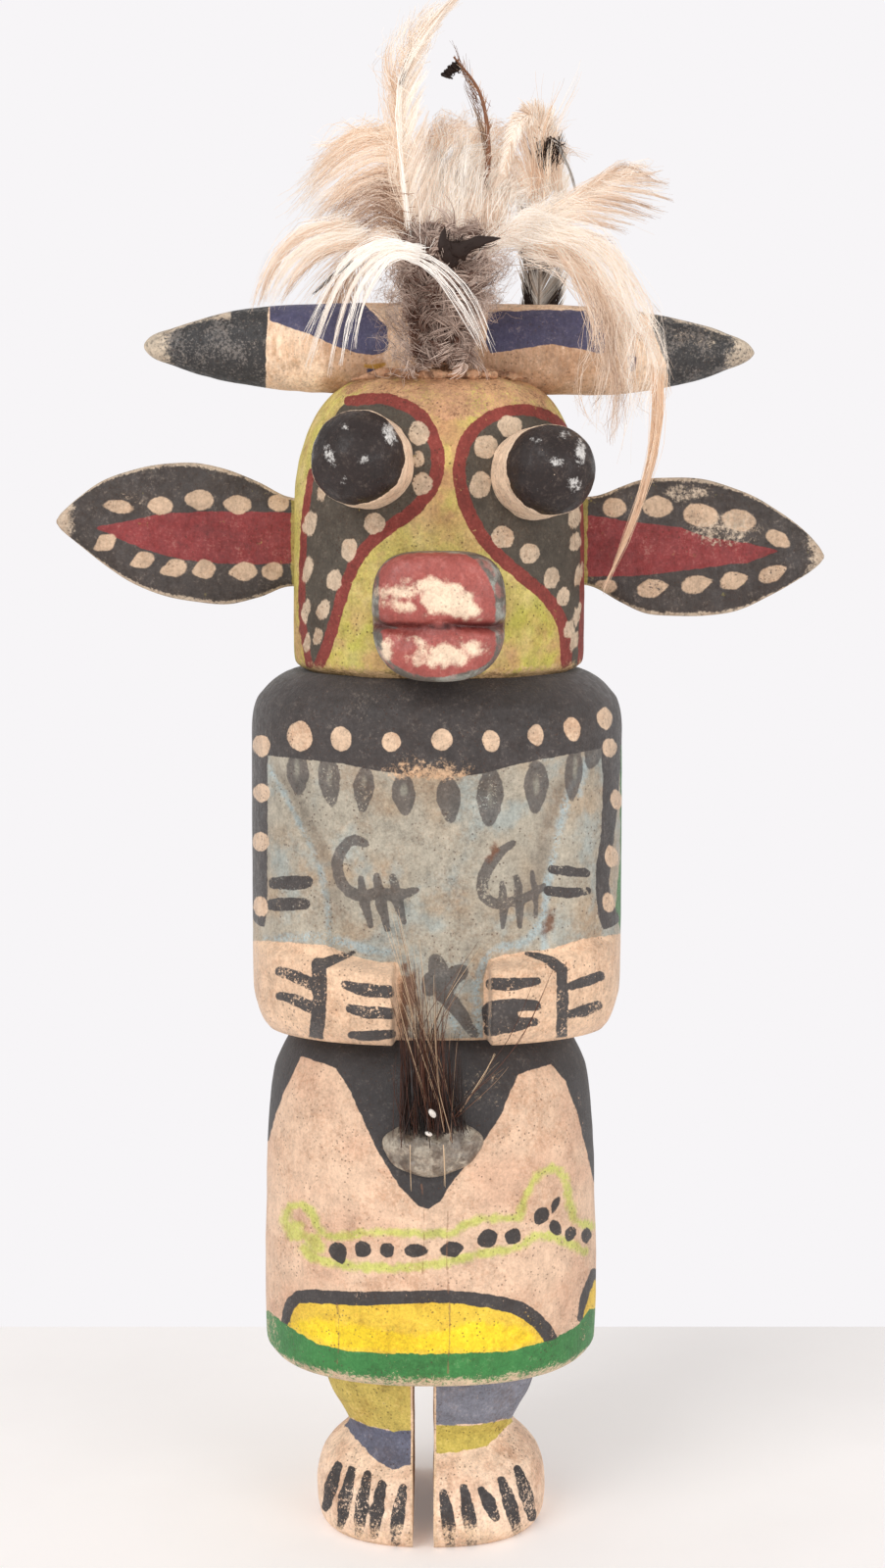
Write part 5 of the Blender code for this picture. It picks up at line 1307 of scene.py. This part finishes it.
def make_feather(name, knots, width, facing, widest, barbs, droop, pale, warm, loose, seed, node, slot,
                 quill=0.00035, stripes=0.0, tint=0.0, stump=0.25):
    """Quill along a smooth curve, with flattened barbs leaving it on both sides at a slant. A barb's
    length follows the vane's outline, neighbours gather in clumps, and each barb bends towards the
    tip and hangs a little."""
    random = np.random.default_rng(seed)
    spine = ORIGIN + along(np.asarray(knots) / 1000.0, 90)
    tangent = np.gradient(spine, axis=0)
    tangent /= np.linalg.norm(tangent, axis=1)[:, None]
    across = np.cross(tangent, np.asarray(facing, dtype=float))
    across /= np.linalg.norm(across, axis=1)[:, None]
    face = np.cross(across, tangent)
    share = random.uniform(0.0 if stripes else 0.06, 1.0, barbs)
    side = np.where(random.uniform(0, 1, barbs) < 0.5, -1.0, 1.0)
    clump = np.floor(share * 26 + 0.35 * side) + 100 * (side > 0)
    gather = random.normal(0, 1, 400)[clump.astype(int) % 400]
    hull = (stump + (1 - stump) * smooth(share / widest)) * (1 - 0.75 * smooth((share - widest) / (1 - widest)))
    reach_out = width / 1000.0 * hull * random.uniform(0.75, 1.12, barbs) * (1 + 0.10 * gather)
    slant = np.radians(34 + 9 * gather * loose + random.normal(0, 6 * loose, barbs))
    place_at = share * 89
    def pick(values):
        low = np.floor(place_at).astype(int).clip(0, 88)
        part = (place_at - low)[:, None]
        return values[low] * (1 - part) + values[low + 1] * part
    base, run, out, lift = pick(spine), pick(tangent), pick(across), pick(face)
    steps = 7
    t = np.linspace(0, 1, steps)[None, :, None]
    length = (reach_out / np.sin(slant).clip(0.35, 1))[:, None, None]
    turn = slant[:, None, None] * (1 - 0.30 * t)
    way = np.cos(turn) * run[:, None] + np.sin(turn) * out[:, None] * side[:, None, None]
    stray = random.normal(0, 0.10 * loose, (barbs, 1, 3))
    off = lift[:, None] * (random.normal(0, 0.16 * loose, (barbs, 1, 1)) + 0.06 * gather[:, None, None])
    paths = base[:, None] + length * t * (way + stray + off)
    paths[..., 2] -= (droop * length * t ** 2)[..., 0]
    radii = (0.00022 if stripes else 0.00013) * (1 - 0.72 * t[..., 0]) * random.uniform(0.8, 1.25, (barbs, 1))
    tone = pale + 0.22 * random.normal(0, 1, (barbs, 1)) * np.ones((1, steps)) + 0.12 * gather[:, None]
    dark = np.zeros((barbs, steps))
    if stripes:
        bars = np.clip(1.7 + 1.2 * np.sin(share * stripes), 0, 1) * ramp(share, 0.44, 0.38) + np.exp(-((share - 0.56) / 0.025) ** 2)
        sideways = np.abs(((paths - base[:, None]) * out[:, None]).sum(axis=-1)) / width * 1000
        dark = bars[:, None] * np.interp(sideways, [0, 0.06, 0.12, 0.62, 0.72], [0.1, 0.3, 1, 1, 0.03])
    rows = np.linspace(0, 89, steps * 6).astype(int)
    warm_tone = warm * np.ones((barbs, steps))
    piece = strands(name + "_barbs", paths, radii, {"tone": tone, "dark": dark, "warm": warm_tone}, flat=face.mean(axis=0))
    shaft_radii = quill * (1 - 0.8 * np.linspace(0, 1, len(rows)))[None] + 0.00004
    ones = np.ones((1, len(rows)))
    shaft_dark = 0.8 * ramp(rows[None] / 89, 0.5, 0.4) if stripes else tint * ones
    shaft = strands(name + "_quill", spine[None][:, rows], shaft_radii,
                    {"tone": ones * (0.0 if tint else 0.9), "dark": shaft_dark, "warm": ones}, sides=6)
    place(piece, FEATHER, slot, node)
    place(shaft, FEATHER, slot, node)


def make_feather_finish():
    """Three colours by tone, from shaded to pale, each between a cool and a warm one. A little light
    of their own stands for the light that passes through thin barbs."""
    finish = Finish("feather finish", 0.6, 0.25)
    tree = finish.tree
    shades = [blend(tree, finish.field("warm"), colour(*cool), colour(*warm)) for cool, warm in (
        ((150, 128, 112), (158, 106, 76)), ((226, 210, 196), (238, 204, 172)), ((255, 251, 246), (254, 236, 216)))]
    finish.top = blend(tree, span(tree, finish.field("tone"), 0.0, 0.5), shades[0], shades[1])
    finish.top = blend(tree, span(tree, finish.field("tone"), 0.45, 1.0), finish.top, shades[2])
    finish.top = blend(tree, finish.field("dark"), finish.top, colour(40, 27, 22))
    feed(tree, finish.shader.inputs["Emission Color"], finish.top)
    finish.shader.inputs["Emission Strength"].default_value = 0.17
    return finish.done()


FEATHER = make_feather_finish()
FRONT = (0.0, -1.0, 0.0)
FEATHERS = [
    ("brown_quill", [(5.2, 4.6, -1.2), (11.2, 6.5, 17), (11.8, 7.8, 29), (9.6, 9, 38.5), (4.0, 10.4, 46)],
     1.6, FRONT, 0.9, 70, 0.1, 0.1, 1.0, 1.5, 9, dict(quill=0.00095, tint=0.45)),
    ("barred_strip", [(20.4, 31.5, -30.0), (24.4, 33.5, -12), (25.0, 34.5, 7.6), (26.0, 33, 19), (25.2, 27, 30),
                      (22.2, 18.5, 34), (18, 11.5, 29), (15, 9.4, 18)],
     7.2, (0.12, -1.0, 0.1), 0.3, 2100, 0.05, 0.85, 0.5, 0.5, 11, dict(stripes=19.0, stump=0.85)),
    ("back_droop", [(1.2, 6.4, -2.6), (0.4, 15, 5.5), (-2, 32, 10.5), (-4, 49, 4), (-5, 62, -10), (-5, 71.6, -27)],
     8.0, (0.0, 0.35, 1.0), 0.5, 1000, 0.3, 0.7, 0.4, 1.3, 13, {}),
    ("back_left", [(-4.8, 6.0, -3.2), (-10, 17.5, 4.0), (-18, 30, 5), (-25, 42, -6), (-28, 51, -19)],
     7.5, (-0.2, 0.35, 1.0), 0.5, 900, 0.35, 0.55, 0.6, 1.4, 14, {}),
]
for name, knots, width, facing, widest, barbs, droop, pale, warm, loose, seed, more in FEATHERS:
    make_feather(name, knots, width, facing, widest, barbs, droop, pale, warm, loose, seed, name, name, **more)


# Plumes of the front, each through its lines on the drawing (across, down, depth in mm)
PLUMES = [
    ("tall_right", "tall_white",
     [[(422, 248, -15), (412, 185, -15), (409, 122, -14), (414, 70, -13), (440, 20, -11)],
      [(434, 214, -17), (424, 150, -16), (419, 92, -14), (429, 42, -12), (461, 2, -11)],
      [(449, 182, -17), (438, 122, -16), (434, 66, -14), (450, 22, -12), (483, -16, -10)]],
     950, dict(tone=(1.0, 0.75), warm=0.4, clumps=26, loose=0.5)),
    ("tall_left", "tall_white",
     [[(419, 244, -15), (411, 185, -15), (408, 122, -14), (413, 70, -13), (440, 20, -11)],
      [(411, 205, -15), (402, 140, -14), (398, 92, -13), (406, 50, -12), (444, 10, -11)],
      [(405, 160, -14), (390, 104, -13), (387, 80, -12), (408, 30, -11), (466, -10, -10)]],
     520, dict(tone=(0.9, 0.6), warm=0.75, clumps=24, loose=1.5, short=0.35)),
    ("tall_shaft", "tall_white",
     [[(418, 250, -18), (423, 250, -18)], [(409, 180, -17), (412, 180, -17)], [(406, 120, -16), (409, 120, -16)],
      [(411, 70, -15), (414, 71, -15)], [(450, 12, -12), (453, 14, -12)], [(472, -10, -10), (475, -8, -10)]],
     30, dict(tone=(1.1, 0.8), warm=0.3, thick=0.16, clumps=3, loose=0.3, short=0.8, streak=0.05)),
    ("dome", "top_cream",
     [[(425, 254, -15), (442, 262, -16), (476, 250, -14), (512, 226, -11)],
      [(432, 196, -13), (452, 184, -12), (488, 182, -10), (524, 196, -7)],
      [(440, 138, -6), (468, 124, -5), (508, 136, -3), (548, 212, -1)]],
     1750, dict(thick=0.1, tone=(0.55, 0.95, 0.75), warm=0.35, clumps=44, gather=0.6, loose=1.3, short=0.3, curl=2.2, streak=0.24)),
    ("dome_rim", "top_cream",
     [[(428, 176, -9), (444, 152, -8), (482, 150, -6), (516, 176, -5)],
      [(432, 140, -7), (462, 130, -6), (494, 134, -5), (526, 160, -4)],
      [(454, 122, -5), (492, 124, -4), (520, 142, -3), (540, 182, -2)]],
     420, dict(tone=(0.8, 0.5), warm=0.7, clumps=22, gather=0.6, loose=1.3, short=0.3, curl=2.2)),
    ("dome_back", "top_cream",
     [[(430, 245, -6), (460, 245, -5), (500, 230, -4)], [(432, 190, 0), (472, 176, 1), (524, 190, 1)],
      [(450, 146, 6), (500, 150, 8), (552, 212, 8)]],
     560, dict(tone=(0.5, 0.8), warm=0.4, loose=1.6, short=0.35, curl=2.0)),
    ("filler", "right_spray",
     [[(470, 266, -16), (500, 252, -16), (526, 232, -14)], [(512, 250, -18), (534, 232, -17), (548, 210, -14)],
      [(552, 268, -19), (578, 240, -17), (588, 196, -13)]],
     780, dict(tone=(0.65, 1.0), warm=0.25, clumps=26, gather=0.6, loose=1.4, short=0.3, curl=2.0)),
    ("upper_left", "left_upper",
     [[(419, 190, -13), (411, 150, -12), (400, 132, -9), (372, 134, -7)],
      [(376, 184, -14), (366, 158, -12), (356, 146, -9), (340, 150, -6)],
      [(326, 226, -14), (302, 222, -9), (306, 188, -6), (318, 158, -4)]],
     620, dict(tone=(0.9, 0.55), warm=0.7, clumps=15, loose=1.0, short=0.35)),
    ("upper_wisps", "left_upper",
     [[(415, 160, -11), (400, 138, -9), (378, 135, -7)], [(390, 140, -9), (366, 140, -7), (346, 148, -5)],
      [(365, 122, -8), (335, 132, -5), (288, 232, -3)]],
     160, dict(tone=(0.8, 0.6), warm=0.9, loose=1.8, short=0.4)),
    ("middle_left", "left_mid",
     [[(430, 262, -14), (416, 232, -14), (408, 196, -13), (400, 172, -12)],
      [(390, 238, -19), (378, 216, -17), (370, 196, -15), (362, 184, -12)],
      [(350, 276, -19), (334, 252, -16), (324, 232, -13), (312, 216, -10)]],
     900, dict(tone=(0.1, 0.35, 0.75), warm=0.45, clumps=26, loose=1.3, short=0.3, curl=1.5, streak=0.3)),
    ("low_left", "left_low",
     [[(382, 250, -19), (366, 232, -20), (350, 224, -21)], [(338, 258, -22), (318, 242, -23), (303, 236, -24)],
      [(306, 282, -25), (286, 272, -25), (272, 272, -26)], [(290, 308, -26), (268, 310, -26), (256, 316, -26)]],
     430, dict(tone=(0.9, 0.9, 0.7), warm=0.5, clumps=9, loose=0.7, short=0.45)),
    ("arch_fan", "arch_white",
     [[(430, 252, -34), (428, 258, -35), (426, 266, -35)], [(386, 246, -36), (392, 252, -37), (402, 264, -38)],
      [(350, 262, -38), (362, 276, -39), (384, 286, -39)], [(326, 292, -39), (344, 322, -40), (374, 314, -40)],
      [(300, 338, -40), (321, 396, -41), (368, 346, -40)]],
     230, dict(tone=(1.0, 1.0, 0.85), warm=0.2, thick=0.09, clumps=6, gather=0.9, loose=0.45, short=0.55, streak=0.1)),
    ("arch_strands", "arch_white",
     [[(398, 262, -35), (414, 252, -34)], [(432, 276, -34), (448, 264, -33)], [(456, 304, -32), (480, 296, -31)],
      [(474, 334, -29), (497, 334, -28)], [(484, 356, -27), (508, 362, -26)]],
     26, dict(tone=(1.1, 1.0), warm=0.05, thick=0.12, clumps=7, gather=0.8, loose=0.4, short=0.8, streak=0.05)),
    ("dark_barb", "arch_white", [[(359, 266, -38), (359, 270, -38)], [(340, 278, -39), (341, 283, -39)], [(320, 300, -40), (321, 302, -40)]],
     12, dict(dark=0.85, thick=0.13, clumps=2, loose=0.25, short=0.8)),
    ("spray_right", "right_spray",
     [[(532, 246, -15), (566, 218, -14), (604, 194, -12), (642, 170, -11)],
      [(574, 240, -16), (610, 216, -14), (642, 192, -12), (658, 168, -11)],
      [(612, 250, -16), (652, 232, -14), (682, 210, -11), (668, 166, -10)]],
     640, dict(tone=(1.0, 0.9, 0.4), warm=0.5, clumps=17, gather=0.85, loose=0.7, short=0.4)),
    ("spray_top", "right_spray",
     [[(525, 238, -14), (565, 212, -13), (605, 190, -12)], [(572, 210, -13), (608, 188, -12), (638, 170, -11)],
      [(614, 186, -12), (646, 164, -11), (680, 190, -10)]],
     360, dict(tone=(1.0, 0.85, 0.5), warm=0.5, clumps=9, gather=0.85, loose=0.6, short=0.4)),
    ("long_right", "long_droop",
     [[(536, 262, -19), (545, 242, -19), (560, 228, -19)], [(588, 280, -26), (602, 258, -26), (622, 250, -25)],
      [(614, 326, -32), (636, 312, -32), (656, 304, -31)], [(616, 372, -36), (650, 366, -36), (674, 352, -36)],
      [(606, 408, -38), (646, 428, -39), (678, 400, -39)]],
     480, dict(tone=(1.0, 0.9, 0.6), warm=0.4, clumps=15, gather=0.8, loose=1.4, short=0.35, curl=2.0, streak=0.3)),
    ("long_lash", "long_droop",
     [[(664, 372, -38), (677, 384, -39)], [(665, 430, -39), (676, 438, -39)], [(655, 488, -40), (664, 492, -40)],
      [(637, 545, -40), (644, 546, -40)], [(614, 605, -40), (618, 600, -40)]],
     120, dict(tone=(0.6, 0.5), warm=0.9, clumps=3, loose=0.3, short=0.6)),
    ("short_right", "short_droop",
     [[(566, 250, -24), (590, 262, -26)], [(598, 302, -31), (624, 304, -31)], [(606, 352, -35), (636, 352, -35)],
      [(600, 392, -37), (642, 400, -37)], [(603, 426, -38), (642, 468, -38)]],
     210, dict(tone=(0.85, 0.6), warm=0.5, clumps=7, gather=0.85, loose=1.3, short=0.35, curl=1.8, streak=0.3)),
    ("black_barbs", "black_small", [[(462, 270, -25), (452, 262, -25)], [(480, 256, -26), (456, 244, -26)], [(508, 250, -26), (458, 232, -26)]],
     120, dict(dark=1.0, thick=0.14, clumps=6, loose=0.7, short=0.4)),
    ("bar_fluff", "barred_strip",
     [[(540, 206, -3), (556, 190, 0), (574, 196, 5)], [(518, 166, -4), (546, 140, -1), (574, 158, 5)],
      [(508, 182, -5), (534, 110, -2), (566, 106, 3), (592, 180, 9)]],
     430, dict(tone=(0.75, 0.4), warm=0.6, clumps=16, loose=0.9, short=0.35)),
    ("bar_spot", "barred_strip", [[(554, 148, -1), (562, 143, -1)], [(551, 158, -1), (568, 155, -1)], [(560, 173, -1), (566, 169, -1)]],
     110, dict(dark=1.0, thick=0.16, clumps=7, gather=0.3, loose=0.9, short=0.3)),
    ("bar_edge", "barred_strip", [[(564, 142, -2), (569, 142, -2)], [(582, 182, -2), (585, 181, -2)], [(590, 226, -2), (593, 226, -2)]],
     14, dict(dark=0.55, thick=0.09, clumps=2, loose=0.2, short=0.8)),
    ("bar_wisps", "barred_strip", [[(546, 200, -4), (560, 180, -2)], [(554, 140, -3), (568, 130, -2)], [(562, 82, -4), (604, 58, 0)]],
     34, dict(tone=(0.3, 0.4), warm=0.9, clumps=5, loose=1.2, short=0.4)),
    ("quill_tuft", "brown_quill", [[(500, 175, -10), (486, 100, -8), (470, 70, -7)], [(498, 150, -9), (478, 84, -7), (462, 56, -7)],
                                   [(508, 130, -9), (466, 58, -7), (452, 32, -6)]],
     80, dict(tone=(0.0, 0.1), warm=1.0, dark=0.55, clumps=6, loose=0.8, short=0.3)),
    ("quill_knots", "brown_quill", [[(466, 62, -6), (450, 76, -6)], [(472, 68, -7), (456, 82, -7)], [(474, 64, -7), (452, 82, -6)]],
     60, dict(dark=1.0, thick=0.3, clumps=2, loose=0.4, short=0.4)),
]


def make_black_leaf():
    """Small black feather in front: three flattened spindles, each along a smooth curve, whose half
    width rises and falls along it."""
    curves = [[(456, 268, -26), (472, 254, -27), (490, 246, -27), (511, 243, -26)],
              [(464, 272, -26), (456, 258, -27), (452, 246, -27), (454, 231, -26)],
              [(448, 258, -26), (458, 252, -27), (470, 258, -27), (474, 266, -26)]]
    paths = np.stack([along(off_drawing(knots), 16) for knots in curves])
    t = np.linspace(0, 1, 16)
    swell = np.stack([np.interp(t, [0, 0.3, 0.7, 1], widths) for widths in ((0.9, 1.7, 1.1, 0.1), (1.0, 1.7, 1.0, 0.1),
                                                                            (0.5, 1.6, 1.5, 0.4))])
    swell = swell * (1 + 0.12 * np.sin(23 * t + np.arange(3)[:, None])) / 1000
    full = np.ones(swell.shape)
    piece = strands("black_leaf", paths, swell, {"tone": 0.3 * full, "dark": full, "warm": full}, np.array(FRONT), 14)
    place(piece, FEATHER, "black_small", "black_small")


def make_down():
    """Grey down: a lumpy core, an oval turned form pushed in and out by a soft random field, under
    tufts of curling strands. A tuft starts near the core and bends round in an arc, in the plane of
    its outward direction and a random one across it, and its strands fan out a little."""
    rows, columns = 60, 80
    turn = np.arange(columns) * 2 * math.pi / columns
    profile = along([(-12.6, 1.0), (-12.4, 4.0), (-10, 6.4), (-4.5, 7.9), (2, 9.0), (7.5, 8.6), (11, 5.6), (12.4, 1.5)],
                    rows)
    x = 0.0006 + profile[:, 1:] / 1000 * np.cos(turn)
    y = -0.0168 - profile[:, 1:] / 1000 * 0.52 * np.sin(turn)
    z = 0.2920 + profile[:, :1] / 1000 + 0 * x
    grid = np.stack([x, y, z], axis=-1)
    away = grid - np.array([0.0006, -0.0168, 0.2920])
    away /= np.linalg.norm(away, axis=-1, keepdims=True) + 1e-9
    grid = grid + away * (0.0016 * cloud(grid, 0.004, 111) - 0.0016)[..., None]
    core = skin("down_core", grid[:, ::-1])
    finish = Finish("down core finish", 0.95, 0.1)
    finish.ground((126, 98, 84))
    finish.cloudy((168, 140, 124), 260.0, 0.42, 0.62, 0.8)
    finish.chalk(0.9, 0.3)
    place(core, finish.done(0.0006), "down_tuft", "down_tuft")
    fluff = Finish("down strand finish", 0.9, 0.1)
    fluff.top = blend(fluff.tree, fluff.field("tone"), colour(100, 68, 56), colour(232, 210, 196))
    # The down strands glow a little: painted light standing for light that passes through them
    feed(fluff.tree, fluff.shader.inputs["Emission Color"], fluff.top)
    fluff.shader.inputs["Emission Strength"].default_value = 0.07
    fluff = fluff.done()
    random = np.random.default_rng(77)
    for k, (tufts, each) in enumerate([(190, 16), (190, 16)]):
        rise = random.uniform(0, 1, tufts) ** 0.8
        half = np.interp(rise, [0, 0.25, 0.5, 0.75, 0.9, 1], [6.0, 7.4, 9.4, 12.0, 11.5, 7.0]) / 1000
        around = random.normal(0, 0.9, tufts)
        out = np.stack([np.sin(around), -np.cos(around) * 0.8, 0.25 + 0.9 * (rise - 0.4)], axis=1)
        out /= np.linalg.norm(out, axis=1)[:, None]
        start = np.stack([0.0016 + half * np.sin(around) * 0.74, -0.0168 - half * 0.42 * np.cos(around),
                          0.2796 + 0.031 * rise], axis=1)
        other = random.normal(0, 1, (tufts, 3)) + [0, 0, 0.5]
        other -= (other * out).sum(axis=1)[:, None] * out
        other /= np.linalg.norm(other, axis=1)[:, None]
        length = random.uniform(3.0, 7.5, tufts) / 1000
        swing = random.uniform(1.8, 5.2, tufts)
        pick = np.repeat(np.arange(tufts), each)
        count = tufts * each
        steps = 9
        t = np.linspace(0, 1, steps)[None]
        arc = swing[pick][:, None] * random.uniform(0.7, 1.2, (count, 1))
        size = length[pick][:, None] * random.uniform(0.6, 1.2, (count, 1)) / arc
        paths = start[pick][:, None] + random.normal(0, 0.00038, (count, 1, 3)) * (1 + 0.8 * t[..., None])
        paths = paths + (size * np.sin(arc * t))[..., None] * out[pick][:, None]
        paths = paths + (size * (1 - np.cos(arc * t)))[..., None] * other[pick][:, None]
        shade = 0.24 + 0.42 * t + 0.24 * random.normal(0, 1, tufts)[pick][:, None] + 0.25 * (rise[pick][:, None] - 0.5)
        shade = shade + 0.20 * np.sin(around[pick])[:, None] + 0.08 * random.normal(0, 1, (count, 1))
        radii = 0.00016 * (1 - 0.6 * t) * random.uniform(0.7, 1.3, (count, 1))
        place(strands("down_curls_" + "ab"[k], paths, radii, {"tone": shade}), fluff, "down_tuft", "down_tuft")
    plume("down_wisps", "down_tuft", fluff,
          [[(424, 385, -22), (416, 330, -24), (424, 270, -24)], [(411, 372, -24), (400, 320, -26), (404, 262, -25)],
           [(405, 350, -26), (390, 300, -26), (390, 256, -25)]],
          260, 31, tone=(0.2, 0.7), thick=0.08, loose=1.5, short=0.25, clumps=20, curl=2.4)
    plume("down_light", "down_tuft", fluff,
          [[(474, 330, -24), (482, 300, -24), (478, 272, -24)], [(492, 322, -25), (502, 292, -25), (502, 264, -25)],
           [(502, 304, -25), (518, 284, -25), (524, 258, -24)]],
          300, 32, tone=(0.4, 0.9), thick=0.09, loose=1.5, short=0.25, clumps=20, curl=2.4)


def make_hair():
    """Loose hairs rooted in the glue, rising past the edge of the torso, some crossing over."""
    finish = Finish("horse hair finish", 0.4, 0.5)
    finish.top = blend(finish.tree, span(finish.tree, finish.field("tone"), 0.0, 0.55), colour(26, 16, 13), colour(96, 52, 33))
    finish.top = blend(finish.tree, span(finish.tree, finish.field("tone"), 0.5, 1.1), finish.top, colour(222, 190, 154))
    finish = finish.done()
    for k, (lines, count, more) in enumerate([
        ([[(408, 1154, -39.5), (440, 1158, -41.5), (476, 1152, -39.5)], [(408, 1110, -41.5), (436, 1104, -43.5), (470, 1110, -41.5)],
          [(404, 1052, -42.5), (436, 1040, -44.5), (470, 1066, -42.5)]], 210, dict(tone=(0.1, 0.3), short=0.4)),
        ([[(410, 1152, -40), (445, 1156, -41), (470, 1150, -40)], [(410, 1090, -42.5), (434, 1084, -44), (456, 1090, -42.5)],
          [(402, 1004, -44), (424, 984, -45.5), (456, 1010, -44)]], 80, dict(tone=(0.25, 0.5), short=0.5)),
        ([[(420, 1150, -41), (452, 1150, -41)], [(424, 1060, -44), (438, 1050, -44)], [(386, 926, -46), (426, 932, -47)]],
         13, dict(tone=(0.3, 1.0), short=0.8)),
        ([[(416, 1150, -41), (440, 1150, -41)], [(432, 1060, -44), (446, 1060, -44)], [(502, 956, -45), (470, 990, -44)]],
         9, dict(tone=(0.2, 0.7), short=0.8)),
        ([[(436, 1150, -41), (470, 1150, -41)], [(420, 1090, -44), (450, 1080, -44)], [(396, 1010, -44), (420, 1000, -45)]],
         16, dict(tone=(0.5, 1.1), short=0.7)),
        ([[(452, 1140, -42), (464, 1134, -42)], [(519, 1070, -41.5), (527, 1066, -41.5)], [(555, 986, -43), (563, 990, -43)]],
         3, dict(tone=(0.2, 0.6), short=0.9, loose=0.25)),
        ([[(462, 1140, -42), (472, 1132, -42)], [(490, 1112, -41.5), (494, 1096, -41)], [(516, 1092, -40.5), (508, 1066, -41)]],
         6, dict(tone=(0.6, 0.9), short=0.8, loose=0.4)),
        ([[(418, 1168, -43.5), (419, 1168, -43.5)], [(418, 1190, -43), (419, 1190, -43)], [(419, 1216, -41), (420, 1216, -41)]],
         2, dict(tone=(1.4, 1.4), short=0.95, loose=0.05)),
        ([[(452, 1168, -43.5), (453, 1168, -43.5)], [(453, 1190, -43), (454, 1190, -43)], [(453, 1212, -41), (454, 1212, -41)]],
         2, dict(tone=(1.4, 1.4), short=0.95, loose=0.05)),
    ]):
        settings = dict(curl=0.4, thick=0.125, loose=0.8, clumps=24, gather=0.5, streak=0.2)
        settings.update(more)
        plume("hair_" + "abcdefghi"[k], "hair_tuft", finish, lines, count, 50 + k, **settings)


for k, (name, node, lines, count, more) in enumerate(PLUMES):
    plume(name, node, FEATHER, lines, count, 200 + k, **more)
make_black_leaf()


def make_glue_lumps():
    """Lumpy beads of old glue: tubes whose size follows a soft random field, one along each joint of
    crown and horn bar, and two short white ones on the root of the hair, which also stand for painted
    glints on the glossy glue."""
    t = np.linspace(0, 1, 60)
    crown = [[(-20.0, -11.5, 277.6), (-8, -13.2, 279.4), (5, -13.4, 279.6), (22, -11.0, 277.8)],
             [(-20.0, 11.5, 277.6), (-8, 13.0, 279.2), (5, 13.2, 279.2), (22, 11.0, 277.8)],
             [(-12.0, -16.5, 278.4), (-4, -18.5, 278.4), (6, -18.5, 278.4), (14, -16.0, 278.4)]]
    paths = np.stack([along(np.array(knots) / 1000, 60) for knots in crown])
    size = 0.0010 + 0.0009 * cloud(paths, 0.0022, 121) - 0.0006 * np.abs(2 * t - 1) ** 3
    size = np.maximum(size, 0.0002)
    finish = Finish("old glue finish", 0.6, 0.4)
    finish.ground((196, 150, 116))
    finish.cloudy((110, 74, 52), 420.0, 0.46, 0.62, 0.9, 2.9)
    finish.cloudy((226, 196, 160), 700.0, 0.54, 0.68, 0.6, 5.9)
    finish.chalk(0.9, 0.5, 0.9, 0.3)
    place(strands("crown_glue", paths, size, None, None, 12), finish.done(0.0004), "carved_body", "carved_body")
    # White beads on the hair's root: glue, and painted glints on the glossy glue
    glue_beads_and_glints = np.stack([along(off_drawing([(438, 1132, -44), (441, 1136, -44.4), (444, 1140, -44)]), 12),
                      along(off_drawing([(434, 1155, -43.6), (437, 1157, -44), (441, 1158, -43.6)]), 12)])
    swell = np.sqrt(np.clip(1 - np.linspace(-1, 1, 12) ** 2, 0.02, 1))[None] * np.array([[0.0007], [0.0005]])
    clear = Finish("white glue and glint finish", 0.3, 0.5)
    clear.ground((236, 228, 220))
    clear.cloudy((206, 190, 176), 900.0, 0.5, 0.66, 0.6)
    clear.chalk(0.4, 0.2, 0.2, 0.1)
    place(strands("hair_glue_and_glints", glue_beads_and_glints, swell, None, None, 12), clear.done(0.0001), "glue_dab", "glue_dab")


make_glue_lumps()
make_hair()
make_down()


# Table and light
def make_stage():
    def sheet(name, corners, tint):
        mesh = bpy.data.meshes.new(name)
        mesh.from_pydata(corners, [], [(0, 1, 2, 3)])
        piece = bpy.data.objects.new(name, mesh)
        bpy.context.collection.objects.link(piece)
        finish = Finish(name + " finish", 0.9, 0.1)
        finish.ground(tint)
        finish.cloudy(tuple(value - 5 for value in tint), 9.0, 0.4, 0.7, 0.6)
        finish.shader.inputs["Emission Color"].default_value = (0.97, 0.97, 1.0, 1.0)
        finish.shader.inputs["Emission Strength"].default_value = 0.11
        piece.data.materials.append(finish.done())
    sheet("table_top", [(-1.6, -1.2, 0), (1.6, -1.2, 0), (1.6, 0.137, 0), (-1.6, 0.137, 0)], (248, 243, 241))


def make_light(name, place_at, aim, size, power, tint=(1, 1, 1)):
    lamp = bpy.data.lights.new(name, "AREA")
    lamp.shape = "RECTANGLE"
    lamp.size, lamp.size_y = size
    lamp.energy = power
    lamp.color = tint
    piece = bpy.data.objects.new(name, lamp)
    bpy.context.collection.objects.link(piece)
    piece.location = place_at
    away = np.array(place_at) - np.array(aim)
    away = away / np.linalg.norm(away)
    yaw = math.atan2(away[0], -away[1])
    piece.rotation_euler = (math.acos(away[2]), 0.0, yaw)


make_stage()
make_light("window", (-1.9, -2.7, 2.3), (0, 0, 0.15), (2.2, 2.2), 66.0)
make_light("fill", (2.4, -2.8, 0.9), (0, 0, 0.15), (2.2, 2.2), 43.0)


def make_room():
    """Even light from all round. Seen itself, the room is a pale, even backdrop."""
    world = bpy.data.worlds.new("room")
    bpy.context.scene.world = world
    world.use_nodes = True
    tree = world.node_tree
    background = tree.nodes["Background"]
    seen = add(tree, "LightPath").outputs["Is Camera Ray"]
    feed(tree, background.inputs["Color"], blend(tree, seen, (0.66, 0.66, 0.66, 1.0), colour(247, 245, 247)))
    background.inputs["Strength"].default_value = 1.0


make_room()
